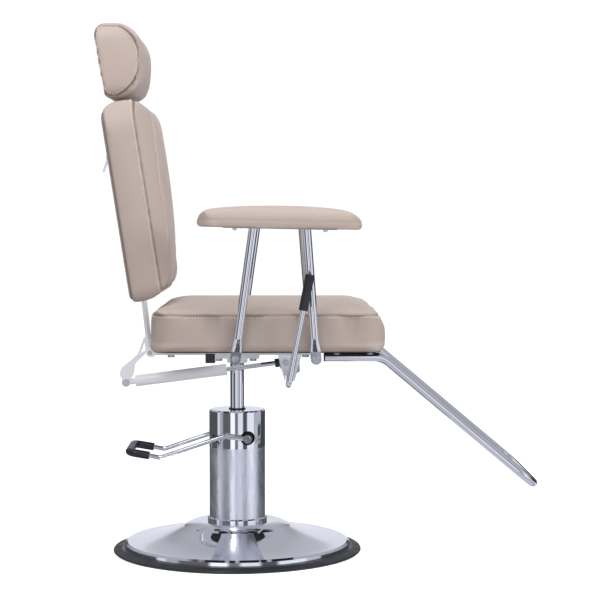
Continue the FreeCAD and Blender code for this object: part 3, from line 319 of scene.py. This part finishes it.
def stitches(lines, closed=True):
    """Threads as arched capsules, one for each stitch along each line of hits."""
    verts = []
    faces = []
    sides = 6
    profile = ((-0.5, 0.25, -0.7), (-0.36, 0.85, 0.1), (0.0, 1.0, 0.45), (0.36, 0.85, 0.1), (0.5, 0.25, -0.7))
    for hits in lines:
        for spot, up, along in evenly(hits, STITCH_PITCH, closed):
            across = up.cross(along).normalized()
            start = len(verts)
            for share, size, lift in profile:
                middle = spot + along * (share * STITCH_LENGTH) + up * (lift * STITCH_RADIUS)
                for side in range(sides):
                    turn = 2 * math.pi * side / sides
                    out = across * math.cos(turn) + up * math.sin(turn)
                    verts.append(middle + out * (size * STITCH_RADIUS))
            for ring in range(len(profile) - 1):
                for side in range(sides):
                    a = start + ring * sides + side
                    b = start + ring * sides + (side + 1) % sides
                    faces.append((a, a + sides, b + sides, b))
            faces.append(tuple(start + side for side in range(sides)))
            end = start + (len(profile) - 1) * sides
            faces.append(tuple(end + side for side in reversed(range(sides))))
    return verts, faces


def sew(name, lines, body, closed=True):
    verts, faces = stitches(lines, closed)
    thread = mesh_from(name, verts, faces)
    wear(thread, "thread")
    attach(thread, body)
    return thread


def around(axis_a, axis_b, count):
    """Directions all the way round, in the plane of two axes."""
    turns = (2 * math.pi * i / count for i in range(count))
    return [axis_a * math.cos(turn) + axis_b * math.sin(turn) for turn in turns]


# ---------------------------------------------------------------- materials

PALE_BEIGE = (0.495, 0.406, 0.363)


class Finish:
    """A procedural material. Places are in metres, in the chair's own frame."""

    def __init__(self, name, roughness, metallic=0.0, **sockets):
        self.material = bpy.data.materials.new(name)
        self.material.use_nodes = True
        tree = self.material.node_tree
        self.nodes = tree.nodes
        self.links = tree.links
        self.shader = self.nodes["Principled BSDF"]
        self.shader.inputs["Roughness"].default_value = roughness
        self.shader.inputs["Metallic"].default_value = metallic
        for key, value in sockets.items():
            self.shader.inputs[key.replace("_", " ").title().replace("Ior", "IOR")].default_value = value
        self.spot = self.nodes.new("ShaderNodeTexCoord").outputs["Object"]

    def stretched(self, stretch):
        mapping = self.nodes.new("ShaderNodeMapping")
        mapping.inputs["Scale"].default_value = stretch
        self.links.new(self.spot, mapping.inputs["Vector"])
        return mapping.outputs["Vector"]

    def noise(self, scale, detail=3.0, stretch=(1, 1, 1), distortion=0.0):
        texture = self.nodes.new("ShaderNodeTexNoise")
        texture.inputs["Scale"].default_value = scale
        texture.inputs["Detail"].default_value = detail
        texture.inputs["Distortion"].default_value = distortion
        self.links.new(self.stretched(stretch), texture.inputs["Vector"])
        return texture.outputs["Fac"]

    def cells(self, scale, feature="SMOOTH_F1", stretch=(1, 1, 1)):
        texture = self.nodes.new("ShaderNodeTexVoronoi")
        texture.feature = feature
        texture.inputs["Scale"].default_value = scale
        self.links.new(self.stretched(stretch), texture.inputs["Vector"])
        return texture.outputs["Distance"]

    def waves(self, scale, direction, stretch=(1, 1, 1)):
        texture = self.nodes.new("ShaderNodeTexWave")
        texture.bands_direction = direction
        texture.inputs["Scale"].default_value = scale
        self.links.new(self.stretched(stretch), texture.inputs["Vector"])
        return texture.outputs["Fac"]

    def ramp(self, source, low, high, start=0.3, end=0.7):
        ramp = self.nodes.new("ShaderNodeValToRGB")
        ramp.color_ramp.elements[0].position = start
        ramp.color_ramp.elements[1].position = end
        ramp.color_ramp.elements[0].color = (*low, 1)
        ramp.color_ramp.elements[1].color = (*high, 1)
        self.links.new(source, ramp.inputs["Fac"])
        return ramp.outputs["Color"]

    def spread(self, source, low, high, start=0.3, end=0.7):
        change = self.nodes.new("ShaderNodeMapRange")
        for key, value in zip(("From Min", "From Max", "To Min", "To Max"), (start, end, low, high)):
            change.inputs[key].default_value = value
        self.links.new(source, change.inputs["Value"])
        return change.outputs["Result"]

    def mixed(self, kind, first, second):
        mix = self.nodes.new("ShaderNodeMath")
        mix.operation = kind
        for socket, value in zip(mix.inputs, (first, second)):
            if isinstance(value, (int, float)):
                socket.default_value = value
            else:
                self.links.new(value, socket)
        return mix.outputs["Value"]

    def colour(self, source):
        self.links.new(source, self.shader.inputs["Base Color"])

    def rough(self, source):
        self.links.new(source, self.shader.inputs["Roughness"])

    def bump(self, source, distance, strength=1.0):
        bump = self.nodes.new("ShaderNodeBump")
        bump.inputs["Strength"].default_value = strength
        bump.inputs["Distance"].default_value = distance
        self.links.new(source, bump.inputs["Height"])
        self.links.new(bump.outputs["Normal"], self.shader.inputs["Normal"])


def shade(colour, factor, most=1.0):
    return tuple(min(most, c * factor) for c in colour)


def vinyl():
    finish = Finish("vinyl", 0.46, specular_ior_level=0.42, sheen_weight=0.06, sheen_roughness=0.4)
    patches = finish.noise(5.0, 4.0)
    skin = finish.ramp(patches, shade(PALE_BEIGE, 0.955), shade(PALE_BEIGE, 1.03))
    # Painted shade: the stored seam darkness mixes the skin towards a dark beige along the seams and in the
    # gathers.
    seam_shade = finish.nodes.new("ShaderNodeAttribute")
    seam_shade.attribute_name = "seam_shade"
    painted_shade_mix = finish.nodes.new("ShaderNodeMix")
    painted_shade_mix.data_type = "RGBA"
    painted_shade_mix.inputs["B"].default_value = (*shade(PALE_BEIGE, 0.36), 1)
    finish.links.new(finish.spread(seam_shade.outputs["Fac"], 0.0, 0.85, 0.1, 1.0), painted_shade_mix.inputs["Factor"])
    finish.links.new(skin, painted_shade_mix.inputs["A"])
    finish.colour(painted_shade_mix.outputs["Result"])
    finish.rough(finish.spread(finish.noise(38.0, 3.0), 0.40, 0.54))
    pebbles = finish.cells(620.0)
    pores = finish.noise(1500.0, 2.0)
    finish.bump(finish.mixed("ADD", pebbles, finish.mixed("MULTIPLY", pores, 0.45)), 0.00032, 0.32)
    return finish.material


def thread():
    finish = Finish("thread", 0.6, sheen_weight=0.2)
    twist = finish.waves(520.0, "DIAGONAL")
    finish.colour(finish.ramp(twist, shade(PALE_BEIGE, 1.7), shade(PALE_BEIGE, 2.0)))
    finish.bump(twist, 0.00012, 0.5)
    return finish.material


def chrome():
    finish = Finish("chrome", 0.05, 1.0)
    finish.colour(finish.ramp(finish.noise(9.0, 2.0), (0.77, 0.785, 0.83), (0.80, 0.81, 0.85)))
    finish.rough(finish.spread(finish.noise(26.0, 4.0), 0.035, 0.085))
    finish.bump(finish.noise(34.0, 1.0), 0.00008, 0.3)
    return finish.material


def brushed_steel():
    finish = Finish("brushed_steel", 0.22, 1.0)
    lines = finish.noise(30.0, 4.0, (1, 1, 46))
    finish.colour(finish.ramp(lines, (0.80, 0.815, 0.90), (0.88, 0.895, 0.97)))
    finish.rough(finish.spread(finish.noise(22.0, 4.0, (1, 1, 0.35), 1.4), 0.24, 0.40))
    ripples = finish.noise(26.0, 2.0, (1.6, 1.6, 0.5), 2.2)
    finish.bump(finish.mixed("ADD", finish.mixed("MULTIPLY", lines, 0.06), ripples), 0.0011, 0.5)
    return finish.material


def white_paint():
    # The emission is painted light: a faint bluish glow lifts the white paint where it sits in shade under
    # the seat.
    finish = Finish("white_paint", 0.32, coat_weight=0.25, coat_roughness=0.12,
                    emission_color=(0.90, 0.92, 1.0, 1), emission_strength=0.12)
    finish.colour(finish.ramp(finish.noise(12.0, 3.0), (0.91, 0.915, 0.96), (0.95, 0.955, 0.99)))
    finish.rough(finish.spread(finish.noise(60.0, 3.0), 0.26, 0.40))
    finish.bump(finish.noise(420.0, 2.0), 0.00015, 0.35)
    return finish.material


def black_rubber():
    finish = Finish("black_rubber", 0.36, specular_ior_level=0.5)
    finish.colour(finish.ramp(finish.noise(18.0, 4.0), (0.010, 0.011, 0.015), (0.024, 0.025, 0.031)))
    finish.rough(finish.spread(finish.noise(45.0, 3.0), 0.28, 0.46))
    finish.bump(finish.noise(700.0, 2.0), 0.00018, 0.35)
    return finish.material


def black_plastic():
    finish = Finish("black_plastic", 0.4)
    finish.colour(finish.ramp(finish.noise(30.0), (0.010, 0.010, 0.012), (0.022, 0.022, 0.026)))
    finish.rough(finish.spread(finish.noise(90.0), 0.30, 0.48))
    finish.bump(finish.cells(900.0), 0.0001, 0.3)
    return finish.material


def black_cloth():
    finish = Finish("black_cloth", 0.85, sheen_weight=0.3)
    warp = finish.waves(220.0, "X")
    weft = finish.waves(220.0, "Y")
    weave = finish.mixed("MAXIMUM", warp, weft)
    finish.colour(finish.ramp(weave, (0.008, 0.008, 0.010), (0.028, 0.028, 0.032), 0.2, 0.9))
    finish.bump(weave, 0.0003, 0.7)
    return finish.material


def plain_steel():
    finish = Finish("plain_steel", 0.3, 1.0)
    finish.colour(finish.ramp(finish.noise(40.0, 4.0), (0.47, 0.48, 0.51), (0.62, 0.63, 0.66)))
    finish.rough(finish.spread(finish.noise(120.0, 3.0), 0.22, 0.40))
    finish.bump(finish.noise(300.0, 2.0), 0.00008, 0.4)
    return finish.material


def cast_iron():
    finish = Finish("cast_iron", 0.6, 0.7)
    finish.colour(finish.ramp(finish.noise(50.0, 5.0), (0.035, 0.036, 0.040), (0.085, 0.085, 0.09)))
    finish.rough(finish.spread(finish.noise(80.0, 4.0), 0.5, 0.72))
    finish.bump(finish.noise(350.0, 4.0), 0.0004, 0.6)
    return finish.material


def bronze():
    finish = Finish("bronze", 0.3, 1.0)
    finish.colour(finish.ramp(finish.noise(60.0, 4.0), (0.45, 0.30, 0.13), (0.62, 0.43, 0.20)))
    finish.rough(finish.spread(finish.noise(90.0, 3.0), 0.24, 0.42))
    return finish.material


def plywood():
    finish = Finish("plywood", 0.62)
    grain = finish.noise(26.0, 6.0, (0.16, 1, 9), 0.6)
    finish.colour(finish.ramp(grain, (0.30, 0.18, 0.085), (0.52, 0.36, 0.20)))
    finish.rough(finish.spread(grain, 0.5, 0.72))
    finish.bump(grain, 0.0004, 0.5)
    return finish.material


FINISHES = {
    "upholstery": vinyl(), "thread": thread(), "chrome": chrome(), "brushed_steel": brushed_steel(),
    "white_paint": white_paint(), "black_rubber": black_rubber(), "black_plastic": black_plastic(),
    "black_cloth": black_cloth(), "plain_steel": plain_steel(), "cast_iron": cast_iron(), "bronze": bronze(),
    "plywood": plywood(),
}


def wear(thing, finish):
    thing.data.materials.clear()
    thing.data.materials.append(FINISHES[finish])


def dress_nodes():
    """Gives every CAD node the finish of its slot in the record."""
    for entry in frame["record"]["subparts"]:
        thing = NODES[entry["node"]]
        if not thing.material_slots:
            thing.data.materials.append(None)
        for slot in thing.material_slots:
            slot.material = FINISHES[entry["material_slot"]]


# ---------------------------------------------------------------- the pads

def finish_pad(thing, node, body):
    wear(thing, "upholstery")
    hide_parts(node)
    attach(thing, body)


def seat_line(thing, height):
    """The line round the seat cushion's side at a height."""
    centre = Vector(((SEAT_LOW.x + SEAT_HIGH.x) / 2, 0, height))
    return loop_hits(tree_of(thing), centre, around(Vector((1, 0, 0)), Vector((0, 1, 0)), SEAM_RAYS))


def build_seat():
    thing, hull = soft_copy("seat_cushion", "seat_upholstery", voxel=5 * MM, shrink=2.5 * MM)
    spots = places(thing)
    rim = spots[:, 2] < SEAT_LOW.z + 16 * MM
    spots[rim] += normals(thing)[rim] * 2.2 * MM
    spots[:, 2] = np.maximum(spots[:, 2], SEAT_LOW.z + 0.3 * MM)
    move_to(thing, spots)
    held = inner(thing, hull, 6 * MM) | (spots[:, 2] < SEAT_LOW.z + 7 * MM)
    held |= far_from(thing, [seat_line(thing, SEAT_CREASE)]) < 3 * MM
    inflate(thing, held, SWELL_PRESSURE, cap=2.2 * MM)
    refine(thing)
    away = far_from(thing, [seat_line(thing, SEAT_CREASE)])
    skin = np.ones(len(away))
    crease(thing, away, skin, depth=0.8 * MM, width=2.8 * MM)
    low = (places(thing)[:, 2] < SEAT_CREASE).astype(float)
    pucker(thing, away, skin, depth=1.0 * MM, reach=26 * MM, pitch=17 * MM, seed=3.0)
    gather_shade = pucker(thing, away, low, depth=8.0 * MM, reach=85 * MM, pitch=40 * MM, seed=8.0,
                    drawn=(1, 1, 0.12), sunk=0.35)
    pucker(thing, away, 1 - low, depth=2.6 * MM, reach=70 * MM, pitch=50 * MM, seed=4.0,
           drawn=(1, 1, 0.5), sunk=0.2)
    spots = places(thing)
    limit = SEAT_HIGH.y + 0.6 * MM
    spots[:, 1] = np.clip(spots[:, 1], -limit, limit)
    spots[:, 2] = np.maximum(spots[:, 2], SEAT_LOW.z + 0.3 * MM)
    move_to(thing, spots)
    # Painted shade: a faint dark line along the seat's seam and a stronger darkening in the gathers below it.
    paint_seam_shade(thing, away, line_shade=0.35, gather_shade=0.42 * gather_shade)
    finish_pad(thing, "seat_cushion", "seat")
    sew("seat_stitching", [seat_line(thing, SEAT_CREASE - 6.5 * MM)], "seat")


def back_rim(thing, depth):
    """The line round the back cushion's side at a depth in the back's frame."""
    centre = BACK @ Vector((depth, 0, BACK_MIDDLE))
    up = BACK.to_3x3() @ Vector((0, 0, 1))
    return loop_hits(tree_of(thing), centre, around(Vector((0, 1, 0)), up, SEAM_RAYS))


def channel_lines(thing, offset=0.0):
    """The sewn channels down the front of the back cushion."""
    tree = tree_of(thing)
    forward = BACK.to_3x3() @ Vector((1, 0, 0))
    lines = []
    for side in (-1, 1):
        hits = []
        for height in np.linspace(0.016, 0.402, 380):
            start = BACK @ Vector((0.3, side * (channel(height) + offset), height))
            spot, normal, _, _ = tree.ray_cast(start, -forward)
            if spot is not None:
                hits.append((spot, normal))
        lines.append(hits)
    return lines


def build_back():
    thing, hull = soft_copy("back_cushion", "back_upholstery", voxel=5 * MM, shrink=2.5 * MM)
    own = to_frame(places(thing), BACK)
    held = inner(thing, hull, 6 * MM) | (own[:, 0] < 10 * MM)
    held |= far_from(thing, [back_rim(thing, BACK_CREASE)] + channel_lines(thing)) < 3 * MM
    inflate(thing, held, SWELL_PRESSURE, cap=10 * MM)
    refine(thing)

    rim = far_from(thing, [back_rim(thing, BACK_CREASE)])
    front = far_from(thing, channel_lines(thing))
    hem = far_from(thing, [back_rim(thing, BACK_HEM)])
    skin = np.ones(len(rim))
    crease(thing, rim, skin, depth=4.0 * MM, width=2.8 * MM)
    crease(thing, front, skin, depth=6.0 * MM, width=5.5 * MM)
    crease(thing, hem, skin, depth=1.6 * MM, width=2.4 * MM)
    pucker(thing, rim, skin, depth=1.1 * MM, reach=24 * MM, pitch=15 * MM, seed=7.0)
    pucker(thing, front, skin, depth=1.5 * MM, reach=30 * MM, pitch=18 * MM, seed=11.0)
    # Painted shade along the back's rim seam, its sewn channels and its hem.
    paint_seam_shade(thing, rim, front, hem)
    finish_pad(thing, "back_cushion", "back")
    sew("back_stitching", [back_rim(thing, BACK_CREASE - 6.4 * MM)], "back")
    lines = channel_lines(thing, -5 * MM) + channel_lines(thing, 5 * MM)
    sew("channel_stitching", lines, "back", closed=False)


def rest_place(forwards, down):
    """A place on the headrest's side, as X and Z, from the pad's back and top."""
    return Vector((REST_LOW.x + forwards, REST_HIGH.z - down))


def rim_distance(start, way, circle):
    """How far it is from a place inside a circle to its rim."""
    forwards, down, radius = circle
    offset = start - rest_place(forwards, down)
    along = way.dot(offset)
    return math.sqrt(along ** 2 - offset.length_squared + radius ** 2) - along


def panel_outline():
    """Points along the headrest's side panel, clockwise from its top at the back."""
    middle = rest_place(*PANEL_MIDDLE)
    found = []
    for step in range(PANEL_STEPS):
        turn = PANEL_START - 2 * math.pi * step / PANEL_STEPS
        way = Vector((math.cos(turn), math.sin(turn)))
        reaches = (rim_distance(middle, way, circle) for circle in (PANEL_FRONT, PANEL_REAR))
        reach = sum(reach ** -PANEL_SHARPNESS for reach in reaches) ** (-1 / PANEL_SHARPNESS)
        found.append(middle + way * reach)
    return found


def panel_lines(thing, inset=0.0):
    """The seam on the headrest's two side panels, or a line an inset inside it."""
    tree = tree_of(thing)
    loop = panel_outline()
    middle = sum(loop, Vector((0, 0))) / len(loop)
    lines = []
    for side in (-1, 1):
        hits = []
        for corner in loop:
            inwards = (middle - corner).normalized()
            for step in range(30):
                x, z = corner + inwards * (inset + step * MM)
                spot, normal, _, _ = tree.ray_cast(Vector((x, side * 0.3, z)), Vector((0, -side, 0)))
                if spot is not None and abs(spot.y) > REST_HIGH.y - 13 * MM:
                    hits.append((spot, normal))
                    break
        lines.append(hits)
    return lines


def build_headrest():
    thing, hull = soft_copy("headrest_pad", "headrest_upholstery", voxel=4 * MM, shrink=2.0 * MM)
    held = inner(thing, hull, 6 * MM) | (far_from(thing, panel_lines(thing)) < 2.6 * MM)
    inflate(thing, held, SWELL_PRESSURE, cap=8 * MM)
    refine(thing)
    away = far_from(thing, panel_lines(thing))
    skin = np.ones(len(away))
    crease(thing, away, skin, depth=3.0 * MM, width=2.4 * MM)
    pucker(thing, away, skin, depth=1.5 * MM, reach=22 * MM, pitch=10 * MM, seed=5.0)
    # Painted shade along the headrest's side panel seams.
    paint_seam_shade(thing, away)
    finish_pad(thing, "headrest_pad", "headrest")
    sew("headrest_stitching", panel_lines(thing, 4.5 * MM), "headrest")


def arm_line(thing, turn, height):
    """The line round an arm pad's side at a height in the pad's frame."""
    centre = turn @ Vector((ARM_LENGTH / 2, 0, height))
    along = turn.to_3x3() @ Vector((1, 0, 0))
    return loop_hits(tree_of(thing), centre, around(along, Vector((0, 1, 0)), ARM_SEAM_RAYS))


def build_arm_pads():
    for side, turn in ARMS.items():
        node = side + "_arm_pad"
        thing, hull = soft_copy(node, side + "_arm_upholstery", voxel=3.5 * MM, shrink=1.5 * MM)
        own = to_frame(places(thing), turn)
        held = inner(thing, hull, 2.5 * MM) | (own[:, 2] < 2.5 * MM)
        held |= far_from(thing, [arm_line(thing, turn, ARM_CREASE)]) < 2.2 * MM
        inflate(thing, held, ARM_SWELL_PRESSURE, cap=5 * MM)
        refine(thing)
        away = far_from(thing, [arm_line(thing, turn, ARM_CREASE)])
        skin = np.ones(len(away))
        crease(thing, away, skin, depth=0.4 * MM, width=3 * MM)
        pucker(thing, away, skin, depth=0.7 * MM, reach=16 * MM, pitch=22 * MM, seed=9.0)
        finish_pad(thing, node, "seat")


# ---------------------------------------------------------------- studio

def emission(name):
    material = bpy.data.materials.new(name)
    material.use_nodes = True
    tree = material.node_tree
    tree.nodes.clear()
    glow = tree.nodes.new("ShaderNodeEmission")
    output = tree.nodes.new("ShaderNodeOutputMaterial")
    tree.links.new(glow.outputs["Emission"], output.inputs["Surface"])
    return material, tree, glow


def only_in_reflections(thing):
    for way in ("camera", "diffuse", "transmission", "volume_scatter", "shadow"):
        setattr(thing, "visible_" + way, False)


ROOM_RADIUS = 6.0
# Each band of the reflected room: the angle where it starts, in degrees round from the camera's side towards
# the footrest, and its brightness.
BANDS = ((-180, 0.85), (-166, 0.10), (-86, 0.85), (-74, 0.46), (-59, 0.14), (-26, 1.25), (-8, 0.20),
         (4, 0.95), (24, 0.10), (42, 1.00), (74, 0.60), (93, 0.07), (166, 0.85))
# The same from straight down to straight up, in degrees.
LAYERS = ((-90, 0.66), (-42, 0.08), (-36, 0.80), (12, 0.50), (62, 0.08), (68, 0.86))
TINT = (0.945, 0.96, 1.05)
BACKDROP_RADIUS = 15.0


def banded(ramp, bands, low, high, place, blur):
    """Sets a ramp's stops so that each band is even and meets the next one in a short blend."""
    stops = ramp.color_ramp.elements
    while len(stops) > 1:
        stops.remove(stops[-1])
    stops[0].position = 0.0
    stops[0].color = (*shade(TINT, bands[0][1], 9.0), 1)
    for (_, before), (start, light) in zip(bands, bands[1:]):
        middle = (place(start) - place(low)) / (place(high) - place(low))
        for shift, value in ((-blur, before), (blur, light)):
            stop = stops.new(middle + shift)
            stop.color = (*shade(TINT, value, 9.0), 1)


def globe(name, radius, height):
    shape = bmesh.new()
    bmesh.ops.create_icosphere(shape, subdivisions=5, radius=radius)
    mesh = bpy.data.meshes.new(name)
    shape.to_mesh(mesh)
    shape.free()
    mesh.shade_smooth()
    thing = link(name, mesh)
    thing.location.z = height
    return thing


def reflected_room():
    room = globe("reflected_room", ROOM_RADIUS, 0.5)
    material, tree, glow = emission("room_glow")
    spot = tree.nodes.new("ShaderNodeTexCoord")
    turned = tree.nodes.new("ShaderNodeMapping")
    turned.inputs["Rotation"].default_value = (0, 0, math.radians(90))
    gradient = tree.nodes.new("ShaderNodeTexGradient")
    gradient.gradient_type = "RADIAL"
    walls = tree.nodes.new("ShaderNodeValToRGB")
    banded(walls, BANDS, -180, 180, lambda angle: angle, 0.005)
    split = tree.nodes.new("ShaderNodeSeparateXYZ")
    rise = tree.nodes.new("ShaderNodeMapRange")
    rise.inputs["From Min"].default_value = -ROOM_RADIUS
    rise.inputs["From Max"].default_value = ROOM_RADIUS
    layers = tree.nodes.new("ShaderNodeValToRGB")
    banded(layers, LAYERS, -90, 90, lambda angle: math.sin(math.radians(angle)), 0.008)
    share = tree.nodes.new("ShaderNodeValToRGB")
    stops = share.color_ramp.elements
    stops[0].position, stops[0].color = 0.30, (0, 0, 0, 1)
    stops[1].position, stops[1].color = 0.36, (1, 1, 1, 1)
    for position, grey in ((0.54, 1.0), (0.64, 0.22), (0.76, 0.0)):
        stops.new(position).color = (grey, grey, grey, 1)
    mix = tree.nodes.new("ShaderNodeMix")
    mix.data_type = "RGBA"
    joins = ((spot.outputs["Object"], turned.inputs["Vector"]),
             (turned.outputs["Vector"], gradient.inputs["Vector"]),
             (gradient.outputs["Fac"], walls.inputs["Fac"]), (spot.outputs["Object"], split.inputs["Vector"]),
             (split.outputs["Z"], rise.inputs["Value"]), (rise.outputs["Result"], layers.inputs["Fac"]),
             (rise.outputs["Result"], share.inputs["Fac"]), (share.outputs["Color"], mix.inputs["Factor"]),
             (layers.outputs["Color"], mix.inputs["A"]), (walls.outputs["Color"], mix.inputs["B"]),
             (mix.outputs["Result"], glow.inputs["Color"]))
    for source, target in joins:
        tree.links.new(source, target)
    room.data.materials.append(material)
    only_in_reflections(room)


def build_studio():
    shape = bmesh.new()
    bmesh.ops.create_circle(shape, cap_ends=True, segments=96, radius=14.0)
    mesh = bpy.data.meshes.new("floor")
    shape.to_mesh(mesh)
    shape.free()
    floor = link("floor", mesh)
    finish = Finish("floor_paint", 0.8, specular_ior_level=0.0, emission_color=(1, 1, 1, 1),
                    emission_strength=0.62)
    finish.colour(finish.ramp(finish.noise(1.5, 2.0), (0.885, 0.885, 0.89), (0.90, 0.90, 0.905)))
    floor.data.materials.append(finish.material)
    floor.visible_glossy = False
    floor.visible_diffuse = False

    backdrop = globe("backdrop", BACKDROP_RADIUS, 0.0)
    material, _, glow = emission("backdrop_glow")
    glow.inputs["Color"].default_value = (1, 1, 1, 1)
    glow.inputs["Strength"].default_value = 1.05
    backdrop.data.materials.append(material)
    for way in ("glossy", "diffuse", "transmission", "volume_scatter", "shadow"):
        setattr(backdrop, "visible_" + way, False)
    reflected_room()

    world = bpy.data.worlds.new("studio")
    world.use_nodes = True
    tree = world.node_tree
    spot = tree.nodes.new("ShaderNodeTexCoord")
    split = tree.nodes.new("ShaderNodeSeparateXYZ")
    sky = tree.nodes.new("ShaderNodeMapRange")
    for key, value in zip(("From Min", "From Max", "To Min", "To Max"), (-0.4, 0.4, 0.46, 0.54)):
        sky.inputs[key].default_value = value
    tree.links.new(spot.outputs["Generated"], split.inputs["Vector"])
    tree.links.new(split.outputs["Z"], sky.inputs["Value"])
    tree.links.new(sky.outputs["Result"], tree.nodes["Background"].inputs["Strength"])
    tree.nodes["Background"].inputs["Color"].default_value = (1, 1, 1, 1)
    bpy.context.scene.world = world

    for name, place, size, power, target in (
            ("overhead", (0.4, -0.6, 3.2), 2.2, 33, (0.05, 0, 0.6)),
            ("high", (-0.45, -1.2, 1.65), 0.6, 5.6, (-0.27, -0.13, 1.05)),
            ("front", (2.6, -2.0, 1.9), 1.6, 48, (0.05, 0, 0.8)),
            ("rear", (-2.8, 1.6, 2.2), 1.6, 12, (0.0, 0, 0.7))):
        data = bpy.data.lights.new(name, "AREA")
        data.shape = "SQUARE"
        data.size = size
        data.energy = power
        lamp = bpy.data.objects.new(name, data)
        lamp.location = place
        lamp.visible_camera = False
        lamp.visible_glossy = name == "high"
        lamp.rotation_mode = "QUATERNION"
        lamp.rotation_quaternion = (Vector(target) - Vector(place)).to_track_quat("-Z", "Y")
        bpy.context.scene.collection.objects.link(lamp)
    bpy.context.scene.view_settings.view_transform = "Standard"


CAMERA_PLACE = (0.0865, -3.8, 0.74)
CAMERA_DOWN = 2.757
CAMERA_TURN = -0.803
CAMERA_LENS = 102.8
CAMERA_SENSOR = 36


def build_camera():
    data = bpy.data.cameras.new("camera")
    data.lens = CAMERA_LENS
    data.sensor_width = CAMERA_SENSOR
    camera = bpy.data.objects.new("camera", data)
    camera.location = CAMERA_PLACE
    camera.rotation_euler = (math.radians(90 - CAMERA_DOWN), 0, math.radians(CAMERA_TURN))
    bpy.context.scene.collection.objects.link(camera)
    bpy.context.scene.camera = camera


dress_nodes()
build_seat()
build_back()
build_headrest()
build_arm_pads()
build_studio()
build_camera()
